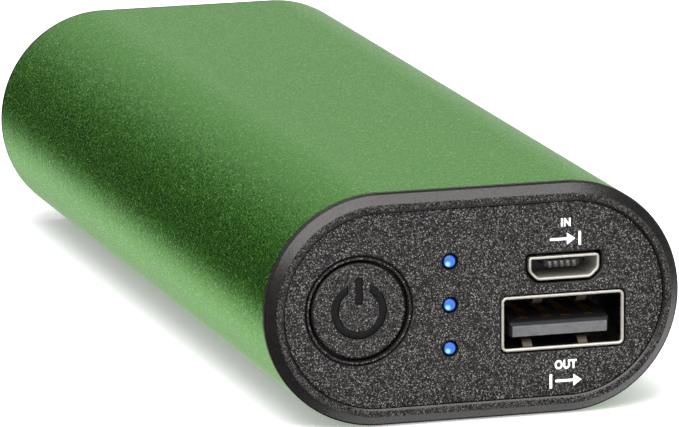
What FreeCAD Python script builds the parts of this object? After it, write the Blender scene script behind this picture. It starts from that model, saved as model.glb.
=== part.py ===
import FreeCAD
import Part
import math
import operator
import os
import Sketcher

# Rechargeable hand warmer: a flat-oval aluminium sleeve closed at both ends by black
# plastic bezels. Inside, a two-part chassis carries two lithium cells, the charging
# board with its two ports, the button switch and two heater films.
# Millimetres. X runs to the right seen from the port end, Y from the port end to the
# rear end and Z up. The origin lies under the middle of the body.

SIZES = {
    # cells, and what is stacked round them up to the outside of the sleeve
    "cell_radius": 9.25,
    "cell_length": 65.2,
    "cell_gap": 0.2,
    "pocket_clearance": 0.15,
    "cell_floor": 1.0,
    "cell_side_wall": 1.65,
    "liner_gap": 0.3,
    "sleeve_wall": 1.3,
    "sleeve_edge_break": 0.12,
    # lengths before and behind the cells
    "front_bay": 35.3,
    "rear_bay": 9.5,
    # bezels
    "bezel_land": 0.2,
    "bezel_chamfer": 1.1,
    "reveal_gap": 0.2,
    "reveal_depth": 0.5,
    "rim_width": 1.85,
    "skirt_clearance": 0.1,
    "skirt_wall": 1.2,
    "skirt_length": 4.0,
    "bezel_floor": 1.4,
    # face panels and the tape that holds them
    "panel_recess": 0.25,
    "panel_thickness": 1.2,
    "panel_gap": 0.1,
    "panel_edge_break": 0.1,
    "adhesive_thickness": 0.15,
    "adhesive_edge": 0.1,
    "adhesive_width": 1.35,
    # end screws
    "screw_head_radius": 1.3,
    "screw_head_height": 0.8,
    "screw_head_sink": 0.1,
    "screw_shank_radius": 0.7,
    "screw_length": 6.0,
    "screw_tip": 0.5,
    "screw_fit": 0.03,
    "screw_slack": 0.15,
    "recess_width": 0.4,
    "recess_length": 1.5,
    "recess_depth": 0.5,
    # button
    "button_lift": 0.15,
    "button_radius": 4.95,
    "button_gap": 0.3,
    "button_ring_width": 0.42,
    "button_ring_depth": 0.45,
    "button_sink": 0.05,
    "button_edge_round": 0.25,
    "button_flange_lip": 0.9,
    "button_flange_thickness": 0.8,
    "button_flange_slack": 0.3,
    "button_stop_gap": 0.05,
    "button_stem_radius": 1.8,
    "button_stem_length": 1.45,
    "mark_radius": 2.9,
    "mark_stroke": 0.75,
    "mark_opening": 2.3,
    "mark_bar_foot": 0.7,
    "mark_bar_length": 2.7,
    "mark_thickness": 0.3,
    # push switch behind the button
    "plunger_gap": 0.05,
    "plunger_proud": 0.9,
    "plunger_radius": 1.7,
    "plunger_slack": 0.1,
    "plunger_flange_lip": 0.5,
    "plunger_flange_thickness": 0.8,
    "plunger_top_gap": 0.05,
    "plunger_nub_radius": 0.9,
    "switch_cover_thickness": 0.3,
    "switch_width": 6.2,
    "switch_height": 3.2,
    "switch_well_slack": 0.2,
    "switch_well_depth": 2.2,
    "dome_side_gap": 0.3,
    "dome_crown_radius": 1.0,
    "dome_height": 0.55,
    "dome_thickness": 0.12,
    "dome_gap": 0.05,
    # indicator lights
    "led_lift": 0.1,
    "led_pitch": 4.5,
    "led_hole_radius": 0.85,
    "lens_clearance": 0.12,
    "lens_sink": 0.1,
    "rail_width": 2.2,
    "rail_overhang": 1.1,
    "rail_thickness": 1.0,
    "rail_clearance": 0.3,
    "light_web": 0.5,
    "led_length": 1.6,
    "led_width": 0.8,
    "led_height": 0.7,
    "led_light_gap": 0.2,
    # boards
    "switch_board_thickness": 1.0,
    "switch_board_edge": 0.9,
    "switch_board_left": 4.4,
    "switch_board_right": 1.7,
    "board_lift": 0.5,
    "board_thickness": 1.5,
    "board_front_gap": 0.4,
    "board_rear_gap": 4.5,
    "board_side_gap": 0.7,
    "board_notch_gap": 1.2,
    "board_notch_side": 1.5,
    "board_screw_out": 0.4,
    "board_screw_setback": 3.6,
    "board_screw_head_radius": 1.4,
    "board_screw_head_height": 0.9,
    "board_screw_radius": 0.7,
    "board_screw_length": 5.0,
    "post_radius": 2.0,
    "post_pilot_spare": 0.6,
    "link_pitch": 2.0,
    "link_width": 0.5,
    "link_rise": 1.2,
    "link_reach": 2.2,
    "link_side": 3.2,
    # full-size output port
    "port_sink": 0.05,
    "usb_width": 13.1,
    "usb_height": 5.72,
    "usb_wall": 0.3,
    "usb_corner": 0.6,
    "usb_depth": 14.0,
    "usb_panel_gap": 0.15,
    "usb_bezel_slack": 0.3,
    "usb_tongue_side": 0.7,
    "usb_tongue_thickness": 1.84,
    "usb_tongue_below": 1.0,
    "usb_tongue_recess": 1.0,
    "usb_tongue_length": 8.0,
    "usb_tongue_chamfer": 0.4,
    "usb_block_slack": 0.04,
    "usb_contact_width": 1.0,
    "usb_contact_thickness": 0.2,
    "usb_contact_inner_pitch": 2.0,
    "usb_contact_outer_pitch": 7.0,
    "usb_contact_setback": 0.8,
    "usb_tail_setback": 1.6,
    "usb_tail_slack": 0.35,
    "usb_spring_width": 1.3,
    "usb_spring_pitch": 6.4,
    "usb_spring_start": 1.6,
    "usb_spring_length": 4.2,
    "usb_spring_height": 0.5,
    # small input port
    "micro_shift": 0.13,
    "micro_width": 7.5,
    "micro_height": 2.45,
    "micro_wall": 0.25,
    "micro_cut": 0.9,
    "micro_depth": 5.6,
    "micro_panel_gap": 0.3,
    "micro_tongue_width": 3.7,
    "micro_tongue_thickness": 0.6,
    "micro_tongue_above": 0.35,
    "micro_tongue_recess": 0.9,
    "micro_tongue_length": 3.0,
    "micro_block_slack": 0.04,
    "micro_contact_width": 0.35,
    "micro_contact_thickness": 0.12,
    "micro_contact_pitch": 0.65,
    "micro_contact_setback": 0.3,
    "micro_tail_length": 0.6,
    # parts on the charging board
    "controller_width": 5.0,
    "controller_height": 0.9,
    "controller_side": 3.0,
    "inductor_width": 7.0,
    "inductor_height": 3.0,
    "inductor_corner": 1.4,
    "inductor_side": -5.3,
    "transistor_length": 2.9,
    "transistor_width": 1.6,
    "transistor_height": 1.1,
    "transistor_pitch": 3.6,
    "transistor_margin": 9.8,
    "capacitor_length": 3.2,
    "capacitor_width": 1.6,
    "capacitor_height": 1.2,
    "capacitor_pitch": 2.6,
    "capacitor_margin": 2.8,
    # chassis
    "chassis_gap": 0.2,
    "chassis_wall": 1.4,
    "bulkhead": 1.2,
    "cell_end_gap": 0.6,
    "opening_side_gap": 1.45,
    "opening_lead_gap": 0.8,
    "boss_radius": 1.4,
    "boss_clearance": 0.2,
    "boss_length": 8.0,
    "boss_rib_width": 1.6,
    "pilot_spare": 0.3,
    "slot_gap": 0.06,
    "slot_grip": 0.8,
    "slot_cheek": 0.9,
    "slot_rib_width": 4.0,
    "window_width": 4.6,
    "window_length": 4.4,
    # cell details
    "wrap_thickness": 0.15,
    "wrap_clearance": 0.02,
    "crimp_setback": 3.0,
    "crimp_width": 1.0,
    "crimp_depth": 0.6,
    "cap_radius": 3.6,
    "cap_height": 0.7,
    "cell_edge_round": 0.5,
    "insulator_thickness": 0.2,
    "insulator_hole_slack": 0.4,
    "insulator_edge": 0.6,
    "tab_thickness": 0.2,
    "tab_lead_margin": 0.1,
    "tab_overhang": 3.2,
    # wires
    "lead_radius": 0.5,
    "lead_lift": 4.0,
    "lead_bend": 1.2,
    "lead_channel_slack": 0.5,
    "lead_landing": 2.3,
    "positive_lead_gap": 2.0,
    # heater films
    "film_thickness": 0.2,
    "film_edge": 0.5,
    "film_front_reach": 8.0,
    "heater_lead_radius": 0.4,
    "heater_lead_margin": 3.5,
    "heater_lead_pitch": 2.2,
    "heater_lead_setback": 0.8,
    "heater_lead_jog": 1.8,
    "heater_lead_stub": 2.2,
    "heater_lead_bend": 1.0,
    "thermistor_radius": 0.9,
    "thermistor_height": 1.8,
    "thermistor_leg_radius": 0.25,
    "thermistor_leg_pitch": 1.0,
    # how far a cut runs past the face it breaks through
    "overrun": 1.0,
}

# Share of a wall's thickness by which an inner 45 degree corner is shorter than the outer one.
MITRE_SHARE = 2 - math.sqrt(2)
# Share of the chassis wall that posts and ribs are let into.
ROOT_SHARE = 0.5
# The port face's spare width, shared out left of the button, between the button and the
# lights, and between the lights and the ports. The rest lies right of the ports.
SPARE_LEFT_SHARE = 0.218
SPARE_LIGHTS_SHARE = 0.322
SPARE_PORTS_SHARE = 0.177
# Shares of the way from the link pins to the board's rear edge, where the parts stand.
CONTROLLER_SHARE = 0.47
INDUCTOR_SHARE = 0.45
TRANSISTOR_SHARE = 0.45
CAPACITOR_SHARE = 0.42

doc = FreeCAD.newDocument("HandWarmer")
sheet = doc.addObject("Spreadsheet::Sheet", "Sizes")
for row, (alias, number) in enumerate(SIZES.items(), start=1):
    sheet.set(f"A{row}", alias)
    sheet.set(f"B{row}", str(number))
    sheet.setAlias(f"B{row}", alias)
doc.recompute()

OPERATIONS = {"+": operator.add, "-": operator.sub, "*": operator.mul, "/": operator.truediv}


class Size:
    """A length: the expression that ties it to the sheet, and what it comes to now."""

    def __init__(self, text, number):
        self.text = text
        self.number = number

    def __add__(self, other):
        return combined(self, "+", other)

    def __radd__(self, other):
        return combined(other, "+", self)

    def __sub__(self, other):
        return combined(self, "-", other)

    def __rsub__(self, other):
        return combined(other, "-", self)

    def __mul__(self, other):
        return combined(self, "*", other)

    def __rmul__(self, other):
        return combined(other, "*", self)

    def __truediv__(self, other):
        return combined(self, "/", other)

    def __neg__(self):
        return combined(0, "-", self)


def as_size(value):
    """Takes a plain factor or zero as it stands."""
    return value if isinstance(value, Size) else Size(repr(value), value)


def larger(left, right):
    """Gives the larger of two sizes."""
    return Size(f"max({left.text}; {right.text})", max(left.number, right.number))


def third_side(longest, other):
    """Gives the third side of a right-angled triangle from its longest side and another."""
    number = math.sqrt(longest.number ** 2 - other.number ** 2)
    return Size(f"sqrt({longest.text} ^ 2 - {other.text} ^ 2)", number)


def combined(left, sign, right):
    """Joins two sizes into one that keeps following the sheet."""
    left = as_size(left)
    right = as_size(right)
    number = OPERATIONS[sign](left.number, right.number)
    return Size(f"({left.text} {sign} {right.text})", number)


class Sheet:
    """Gives each named cell as a size."""

    def __getattr__(self, alias):
        return Size(f"Sizes.{alias}", float(sheet.get(alias)))


size = Sheet()
layout = doc.addObject("App::VarSet", "Layout")


def kept(name, amount):
    """Stores a worked-out size under its own name, for other sizes to follow."""
    layout.addProperty("App::PropertyFloat", name)
    layout.setExpression(name, amount.text)
    return Size(f"Layout.{name}", amount.number)

ZERO = as_size(0)

# Drawing helpers.

PLANES = {"XY": ("XY_Plane", 1), "XZ": ("XZ_Plane", -1), "YZ": ("YZ_Plane", 1)}


def new_body(name, x=ZERO, z=ZERO):
    """Starts a body whose own origin stands at a place across the port face."""
    body = doc.addObject("PartDesign::Body", name)
    body.setExpression("Placement.Base.x", as_size(x).text)
    body.setExpression("Placement.Base.z", as_size(z).text)
    doc.recompute()
    return body


def sketch_on(body, name, plane, station):
    """Opens a sketch on one of the body's origin planes, moved along that plane's axis."""
    role, facing = PLANES[plane]
    support = next(item for item in body.Origin.OriginFeatures if item.Role == role)
    sketch = body.newObject("Sketcher::SketchObject", name + "_outline")
    sketch.AttachmentSupport = [(support, "")]
    sketch.MapMode = "FlatFace"
    sketch.setExpression("AttachmentOffset.Base.z", (as_size(station) * facing).text)
    return sketch


def held(sketch, kind, *where):
    """Adds a dimension to a sketch, tied to the size named last."""
    measure = where[-1]
    index = sketch.addConstraint(Sketcher.Constraint(kind, *where[:-1], measure.number))
    name = f"{kind}_{index}"
    sketch.renameConstraint(index, name)
    sketch.setExpression(f"Constraints.{name}", measure.text)


def placed(sketch, item, point, across, along):
    """Ties a point of a sketch to its two coordinates."""
    across = as_size(across)
    along = as_size(along)
    if across.number == 0:
        sketch.addConstraint(Sketcher.Constraint("PointOnObject", item, point, -2))
    else:
        held(sketch, "DistanceX", -1, 1, item, point, across)
    if along.number == 0:
        sketch.addConstraint(Sketcher.Constraint("PointOnObject", item, point, -1))
    else:
        held(sketch, "DistanceY", -1, 1, item, point, along)


def spot(across, along):
    """A point in a sketch, where its sizes now put it."""
    return FreeCAD.Vector(as_size(across).number, as_size(along).number, 0)


def draw_polygon(sketch, points):
    """Draws a closed outline of straight lines through named places."""
    lines = []
    for number, start in enumerate(points):
        finish = points[(number + 1) % len(points)]
        lines.append(sketch.addGeometry(Part.LineSegment(spot(*start), spot(*finish))))
    for number, line in enumerate(lines):
        follower = lines[(number + 1) % len(lines)]
        sketch.addConstraint(Sketcher.Constraint("Coincident", line, 2, follower, 1))
    for line, start in zip(lines, points):
        placed(sketch, line, 1, *start)


def draw_box(sketch, left, right, low, high):
    """Draws a rectangle between four named stations."""
    draw_polygon(sketch, [(left, low), (right, low), (right, high), (left, high)])


def draw_circle(sketch, across, along, radius):
    """Draws a circle of a named radius at a named place."""
    outline = Part.Circle(spot(across, along), FreeCAD.Vector(0, 0, 1), radius.number)
    item = sketch.addGeometry(outline)
    placed(sketch, item, 3, across, along)
    held(sketch, "Radius", item, radius)


def draw_round_box(sketch, left, right, low, high, corner):
    """Draws a rectangle with four equal round corners."""
    centres = [
        (right - corner, high - corner, 0),
        (left + corner, high - corner, 1),
        (left + corner, low + corner, 2),
        (right - corner, low + corner, 3),
    ]
    arcs = []
    for across, along, quarter in centres:
        rim = Part.Circle(spot(across, along), FreeCAD.Vector(0, 0, 1), corner.number)
        turn = quarter * math.pi / 2
        arcs.append(sketch.addGeometry(Part.ArcOfCircle(rim, turn, turn + math.pi / 2)))
    for number, arc in enumerate(arcs):
        following = arcs[(number + 1) % len(arcs)]
        start = sketch.Geometry[arc].EndPoint
        finish = sketch.Geometry[following].StartPoint
        line = sketch.addGeometry(Part.LineSegment(start, finish))
        sketch.addConstraint(Sketcher.Constraint("Tangent", arc, 2, line, 1))
        sketch.addConstraint(Sketcher.Constraint("Tangent", line, 2, following, 1))
        sketch.addConstraint(Sketcher.Constraint("Horizontal" if number % 2 == 0 else "Vertical", line))
    for arc in arcs[1:]:
        sketch.addConstraint(Sketcher.Constraint("Equal", arcs[0], arc))
    held(sketch, "Radius", arcs[0], corner)
    placed(sketch, arcs[0], 3, centres[0][0], centres[0][1])
    placed(sketch, arcs[2], 3, centres[2][0], centres[2][1])


def draw_oval(sketch, inset):
    """Draws the body's flat-oval outline, moved in all round by an inset."""
    reach = body_width / 2 - body_height / 2
    radius = body_height / 2 - inset
    up = FreeCAD.Vector(0, 0, 1)
    top = sketch.addGeometry(Part.LineSegment(spot(-reach, mid_z + radius), spot(reach, mid_z + radius)))
    low = sketch.addGeometry(Part.LineSegment(spot(reach, mid_z - radius), spot(-reach, mid_z - radius)))
    right_rim = Part.Circle(spot(reach, mid_z), up, radius.number)
    right = sketch.addGeometry(Part.ArcOfCircle(right_rim, -math.pi / 2, math.pi / 2))
    left_rim = Part.Circle(spot(-reach, mid_z), up, radius.number)
    left = sketch.addGeometry(Part.ArcOfCircle(left_rim, math.pi / 2, 3 * math.pi / 2))
    joins = ((top, 2, right, 2), (low, 1, right, 1), (top, 1, left, 1), (low, 2, left, 2))
    for line, end, arc, tip in joins:
        sketch.addConstraint(Sketcher.Constraint("Tangent", line, end, arc, tip))
    sketch.addConstraint(Sketcher.Constraint("Equal", right, left))
    held(sketch, "Radius", right, radius)
    placed(sketch, right, 3, reach, mid_z)
    placed(sketch, left, 3, -reach, mid_z)


def prism(body, name, plane, start, finish, draw, cut=False):
    """Adds or cuts a straight prism between two stations along the plane's axis."""
    sketch = sketch_on(body, name, plane, start)
    draw(sketch)
    feature = body.newObject("PartDesign::Pocket" if cut else "PartDesign::Pad", name)
    feature.Profile = sketch
    rising = as_size(finish).number > as_size(start).number
    along_normal = rising == (PLANES[plane][1] > 0)
    feature.setExpression("Length", (finish - start if rising else start - finish).text)
    feature.Reversed = along_normal if cut else not along_normal
    sketch.Visibility = False
    doc.recompute()
    return feature


def turned(body, name, points):
    """Turns an outline of radius and height round the body's own Y axis."""
    sketch = sketch_on(body, name, "XY", ZERO)
    draw_polygon(sketch, points)
    feature = body.newObject("PartDesign::Revolution", name)
    feature.Profile = sketch
    feature.ReferenceAxis = (sketch, ["V_Axis"])
    sketch.Visibility = False
    doc.recompute()
    return feature


def eased(body, name, kind, amount, chosen):
    """Chamfers or rounds those edges of a body that a test picks out."""
    base = body.Tip
    picked = [f"Edge{index}" for index, edge in enumerate(base.Shape.Edges, start=1) if chosen(edge)]
    feature = body.newObject("PartDesign::" + kind, name)
    feature.Base = (base, picked)
    feature.setExpression("Size" if kind == "Chamfer" else "Radius", amount.text)
    doc.recompute()
    return feature


def lies_at(edge, station):
    """Tells whether an edge lies in the plane across Y at a station."""
    box = edge.BoundBox
    near = 1e-5
    return abs(box.YMin - station.number) < near and abs(box.YMax - station.number) < near


def block(name, left, right, front, back, low, high):
    """Makes a plain block between six named stations."""
    item = doc.addObject("Part::Box", name)
    item.setExpression("Length", (right - left).text)
    item.setExpression("Width", (back - front).text)
    item.setExpression("Height", (high - low).text)
    item.setExpression("Placement.Base.x", as_size(left).text)
    item.setExpression("Placement.Base.y", as_size(front).text)
    item.setExpression("Placement.Base.z", as_size(low).text)
    return item


def peg(name, across, along, low, high, radius):
    """Makes an upright round peg."""
    item = doc.addObject("Part::Cylinder", name)
    item.setExpression("Radius", radius.text)
    item.setExpression("Height", (high - low).text)
    item.setExpression("Placement.Base.x", as_size(across).text)
    item.setExpression("Placement.Base.y", as_size(along).text)
    item.setExpression("Placement.Base.z", as_size(low).text)
    return item


def group(name, items):
    """Gathers separate solids of one kind into one sub-part."""
    gathered = doc.addObject("Part::Compound", name)
    gathered.Links = items
    doc.recompute()
    return gathered


def cut_from(name, base, tool):
    """Takes one sub-part's room out of another."""
    result = doc.addObject("Part::Cut", name)
    result.Base = base
    result.Tool = tool
    doc.recompute()
    return result


def wire(name, points, radius, bend):
    """Runs a round wire along straight lengths joined by tangent arcs."""
    corners = [FreeCAD.Vector(*[as_size(part).number for part in point]) for point in points]
    edges = []
    start = corners[0]
    for before, corner, after in zip(corners, corners[1:], corners[2:]):
        inward = (corner - before).normalize()
        outward = (after - corner).normalize()
        angle = inward.getAngle(outward)
        setback = bend.number * math.tan(angle / 2)
        first = corner - inward * setback
        last = corner + outward * setback
        middle_way = (outward - inward).normalize()
        centre = corner + middle_way * (bend.number / math.cos(angle / 2))
        middle = centre - middle_way * bend.number
        edges.append(Part.LineSegment(start, first).toShape())
        edges.append(Part.Arc(first, middle, last).toShape())
        start = last
    edges.append(Part.LineSegment(start, corners[-1]).toShape())
    spine = Part.Wire(edges)
    heading = (corners[1] - corners[0]).normalize()
    section = Part.Wire(Part.makeCircle(radius.number, corners[0], heading))
    solid = spine.makePipeShell([section], True, True)
    expected = math.pi * radius.number ** 2 * spine.Length
    if abs(solid.Volume / expected - 1) > 0.01:
        raise ValueError(name + " does not have the volume of a round wire")
    item = doc.addObject("Part::Feature", name)
    item.Shape = solid
    item.Placement = FreeCAD.Placement()
    return item


# Overall sizes: the cells and the walls round them set the section, unless the port face
# needs more width. Across the port face each piece takes the room it needs, and the
# width that is left over is shared out between them.

skirt_inset = size.sleeve_wall + size.skirt_clearance
skirt_inner_inset = skirt_inset + size.skirt_wall
chassis_inset = size.sleeve_wall + size.liner_gap
bay_inset = chassis_inset + size.chassis_wall
bay_root = chassis_inset + size.chassis_wall * ROOT_SHARE
panel_inset = size.rim_width + size.panel_gap
pocket_radius = size.cell_radius + size.pocket_clearance
cell_x = size.cell_radius + size.cell_gap / 2

body_height = kept("body_height", 2 * (pocket_radius + size.cell_floor + chassis_inset))
body_length = kept("body_length", size.front_bay + size.cell_length + size.rear_bay)
mid_z = body_height / 2

flange_radius = size.button_radius + size.button_flange_lip
well_radius = flange_radius + size.button_flange_slack
slot_half = size.rail_width / 2 + size.rail_clearance
screw_room = size.screw_head_radius + size.screw_slack
usb_half = size.usb_width / 2 + size.usb_bezel_slack
usb_drop = size.usb_height + size.usb_bezel_slack - size.board_lift
corner_reach = third_side(body_height / 2 - skirt_inner_inset, usb_drop)

left_need = skirt_inner_inset + well_radius
lights_need = well_radius + size.light_web + slot_half
ports_need = slot_half + 2 * screw_room + usb_half
right_need = usb_half + body_height / 2 - corner_reach
face_need = left_need + lights_need + ports_need + right_need
cells_need = 2 * (cell_x + pocket_radius + size.cell_side_wall + chassis_inset)
body_width = kept("body_width", larger(cells_need, face_need))
spare_width = body_width - face_need

button_x = kept("button_x", left_need + spare_width * SPARE_LEFT_SHARE - body_width / 2)
button_z = mid_z + size.button_lift
led_x = kept("led_x", button_x + lights_need + spare_width * SPARE_LIGHTS_SHARE)
led_z = mid_z + size.led_lift
port_x = kept("port_x", led_x + ports_need + spare_width * SPARE_PORTS_SHARE)
micro_x = port_x + size.micro_shift


def from_front(depth):
    """Station on Y at a depth behind the port end."""
    return depth - body_length / 2


def from_rear(depth):
    """Station on Y at a depth ahead of the rear end."""
    return body_length / 2 - depth


bezel_depth = size.bezel_land + size.bezel_chamfer
sleeve_end = bezel_depth + size.reveal_gap
skirt_end = sleeve_end + size.skirt_length
panel_back = size.panel_recess + size.panel_thickness
floor_front = panel_back + size.adhesive_thickness
floor_back = floor_front + size.bezel_floor

pieces = []

# Sleeve: one length of extruded aluminium tube, blasted and anodised, edges broken.

sleeve = new_body("sleeve")


def sleeve_section(sketch):
    draw_oval(sketch, ZERO)
    draw_oval(sketch, size.sleeve_wall)


prism(sleeve, "tube", "XZ", from_front(sleeve_end), from_rear(sleeve_end), sleeve_section)
sleeve_ends = (from_front(sleeve_end), from_rear(sleeve_end))
eased(sleeve, "broken_edges", "Chamfer", size.sleeve_edge_break,
      lambda edge: any(lies_at(edge, end) for end in sleeve_ends))
pieces.append(sleeve)

# End screws: small pan heads with a cross recess, sunk in the bezel floors and driven
# into the chassis bosses, out of sight under the face panels.

screw_x = (led_x + slot_half + port_x - usb_half) / 2
screw_reach = body_height / 2 - skirt_inner_inset - size.boss_clearance - size.boss_radius
screw_heights = (mid_z - screw_reach, mid_z + screw_reach)
screw_seat = floor_front + size.screw_head_sink
shoulder = screw_seat + size.screw_head_height
screw_end = shoulder + size.screw_length


def end_screw(name, height, depth_to_y):
    """Makes one end screw; its depths turn into stations from the end it closes."""
    screw = new_body(name, screw_x, height)
    tip_radius = size.screw_shank_radius - size.screw_tip
    points = [
        (ZERO, screw_seat),
        (size.screw_head_radius, screw_seat),
        (size.screw_head_radius, shoulder),
        (size.screw_shank_radius, shoulder),
        (size.screw_shank_radius, screw_end - size.screw_tip),
        (tip_radius, screw_end),
        (ZERO, screw_end),
    ]
    turned(screw, "turned", [(radius, depth_to_y(depth)) for radius, depth in points])
    half_width = size.recess_width / 2
    half_length = size.recess_length / 2
    seat_y = depth_to_y(screw_seat)
    foot_y = depth_to_y(screw_seat + size.recess_depth)
    prism(screw, "recess_across", "XZ", seat_y, foot_y,
          lambda sketch: draw_box(sketch, -half_length, half_length, -half_width, half_width), cut=True)
    prism(screw, "recess_upright", "XZ", seat_y, foot_y,
          lambda sketch: draw_box(sketch, -half_width, half_width, -half_length, half_length), cut=True)
    return screw


for end, depth_to_y in (("front", from_front), ("rear", from_rear)):
    screws = [end_screw(f"{end}_screw_{number}", height, depth_to_y)
              for number, height in enumerate(screw_heights, start=1)]
    pieces.append(group(end + "_screws", screws))

# Ports: their places follow the charging board, which they are soldered to.

board_low = mid_z + size.board_lift
board_high = board_low + size.board_thickness
port_face = size.panel_recess + size.port_sink
usb_left = port_x - size.usb_width / 2
usb_right = port_x + size.usb_width / 2
usb_low = board_low - size.usb_height
micro_low = board_high
micro_high = board_high + size.micro_height


def draw_micro(sketch, grow):
    """Draws the small port's outline, wide side up, moved out all round by an amount."""
    half = size.micro_width / 2 + grow
    low = micro_low - grow
    high = micro_high + grow
    leg = size.micro_cut + grow * MITRE_SHARE
    draw_polygon(sketch, [
        (micro_x - half, high),
        (micro_x - half, low + leg),
        (micro_x - half + leg, low),
        (micro_x + half - leg, low),
        (micro_x + half, low + leg),
        (micro_x + half, high),
    ])


def draw_usb(sketch, grow):
    """Draws the full-size port's outline, moved out all round by an amount."""
    draw_round_box(sketch, usb_left - grow, usb_right + grow, usb_low - grow, board_low + grow,
                   size.usb_corner + grow)


# Bezels: moulded black plastic; a chamfered collar covers the sleeve's end, a skirt
# goes inside the sleeve and a floor carries the face panel and the screws.

ring_radius = size.button_radius + size.button_gap
led_heights = (led_z - size.led_pitch, led_z, led_z + size.led_pitch)


def bezel(name, depth_to_y):
    """Makes the parts of a bezel that are alike at both ends."""
    shell = new_body(name)
    face = depth_to_y(ZERO)
    collar_back = depth_to_y(bezel_depth)
    outside = depth_to_y(-size.overrun)
    prism(shell, "collar", "XZ", face, collar_back, lambda sketch: draw_oval(sketch, ZERO))
    eased(shell, "collar_chamfer", "Chamfer", size.bezel_chamfer, lambda edge: lies_at(edge, face))
    prism(shell, "neck", "XZ", collar_back, depth_to_y(sleeve_end),
          lambda sketch: draw_oval(sketch, size.reveal_depth))
    prism(shell, "skirt", "XZ", depth_to_y(sleeve_end), depth_to_y(skirt_end),
          lambda sketch: draw_oval(sketch, skirt_inset))
    prism(shell, "panel_seat", "XZ", outside, depth_to_y(floor_front),
          lambda sketch: draw_oval(sketch, size.rim_width), cut=True)
    prism(shell, "hollow", "XZ", depth_to_y(floor_back), depth_to_y(skirt_end + size.overrun),
          lambda sketch: draw_oval(sketch, skirt_inner_inset), cut=True)

    def screw_holes(sketch):
        for height in screw_heights:
            draw_circle(sketch, screw_x, height, size.screw_shank_radius + size.screw_slack)

    def head_wells(sketch):
        for height in screw_heights:
            draw_circle(sketch, screw_x, height, screw_room)

    through = depth_to_y(floor_back + size.overrun)
    prism(shell, "screw_holes", "XZ", depth_to_y(size.panel_recess), through, screw_holes, cut=True)
    prism(shell, "head_wells", "XZ", depth_to_y(size.panel_recess), depth_to_y(shoulder),
          head_wells, cut=True)
    return shell


front_bezel = bezel("front_bezel", from_front)


def front_openings(sketch):
    draw_circle(sketch, button_x, button_z, well_radius)
    reach = size.led_pitch + size.rail_overhang + size.rail_clearance
    draw_box(sketch, led_x - slot_half, led_x + slot_half, led_z - reach, led_z + reach)


def front_port_opening(sketch):
    high = micro_high + size.usb_bezel_slack
    draw_box(sketch, port_x - usb_half, port_x + usb_half, usb_low - size.usb_bezel_slack, high)


front_cuts = {"button_well_and_light_slot": front_openings, "port_opening": front_port_opening}
for opening, draw in front_cuts.items():
    prism(front_bezel, opening, "XZ", from_front(size.panel_recess),
          from_front(floor_back + size.overrun), draw, cut=True)
pieces.append(front_bezel)
rear_bezel = bezel("rear_bezel", from_rear)
pieces.append(rear_bezel)

# Face panels: textured black plates let into the bezels. The front one has the openings
# for the button, the three lights and the two ports.


def panel(name, depth_to_y):
    plate = new_body(name)
    face = depth_to_y(size.panel_recess)
    prism(plate, "plate", "XZ", face, depth_to_y(panel_back),
          lambda sketch: draw_oval(sketch, panel_inset))
    eased(plate, "edge_break", "Chamfer", size.panel_edge_break, lambda edge: lies_at(edge, face))
    return plate


front_panel = panel("front_panel", from_front)


def panel_openings(sketch):
    draw_circle(sketch, button_x, button_z, ring_radius)
    for height in led_heights:
        draw_circle(sketch, led_x, height, size.led_hole_radius)
    draw_micro(sketch, size.micro_panel_gap)
    draw_usb(sketch, size.usb_panel_gap)


prism(front_panel, "openings", "XZ", from_front(ZERO), from_front(panel_back + size.overrun),
      panel_openings, cut=True)
ring_floor = size.panel_recess + size.button_ring_depth
ring_edge = ring_radius + size.button_ring_width
prism(front_panel, "button_ring", "XZ", from_front(ZERO), from_front(ring_floor),
      lambda sketch: draw_circle(sketch, button_x, button_z, ring_edge), cut=True)
pieces.append(front_panel)
rear_panel = panel("rear_panel", from_rear)
pieces.append(rear_panel)

# Tape: a die-cut oval of double-sided tape behind each panel.


def tape(name, depth_to_y):
    ring = new_body(name)

    def outline(sketch):
        draw_oval(sketch, panel_inset + size.adhesive_edge)
        draw_oval(sketch, panel_inset + size.adhesive_edge + size.adhesive_width)

    prism(ring, "ring", "XZ", depth_to_y(panel_back), depth_to_y(floor_front), outline)
    return ring


pieces.append(tape("front_panel_adhesive", from_front))
pieces.append(tape("rear_panel_adhesive", from_rear))

# Power button: a moulded cap with a flange behind the panel and a stem that works the
# switch. A glossy power sign is moulded into its face.

button_face = size.panel_recess + size.button_sink
flange_front = panel_back + size.button_stop_gap
flange_back = flange_front + size.button_flange_thickness
stem_end = flange_back + size.button_stem_length

button_blank = new_body("button_blank", button_x, button_z)
button_outline = [
    (ZERO, button_face),
    (size.button_radius, button_face),
    (size.button_radius, flange_front),
    (flange_radius, flange_front),
    (flange_radius, flange_back),
    (size.button_stem_radius, flange_back),
    (size.button_stem_radius, stem_end),
    (ZERO, stem_end),
]
turned(button_blank, "cap", [(radius, from_front(depth)) for radius, depth in button_outline])
eased(button_blank, "edge_round", "Fillet", size.button_edge_round,
      lambda edge: lies_at(edge, from_front(button_face)))

mark_ring = new_body("mark_ring", button_x, button_z)
mark_foot = button_face + size.mark_thickness


def mark_circle(sketch):
    draw_circle(sketch, ZERO, ZERO, size.mark_radius)
    draw_circle(sketch, ZERO, ZERO, size.mark_radius - size.mark_stroke)


def mark_gap(sketch):
    half = size.mark_opening / 2
    draw_box(sketch, -half, half, ZERO, size.mark_radius + size.overrun)


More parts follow.
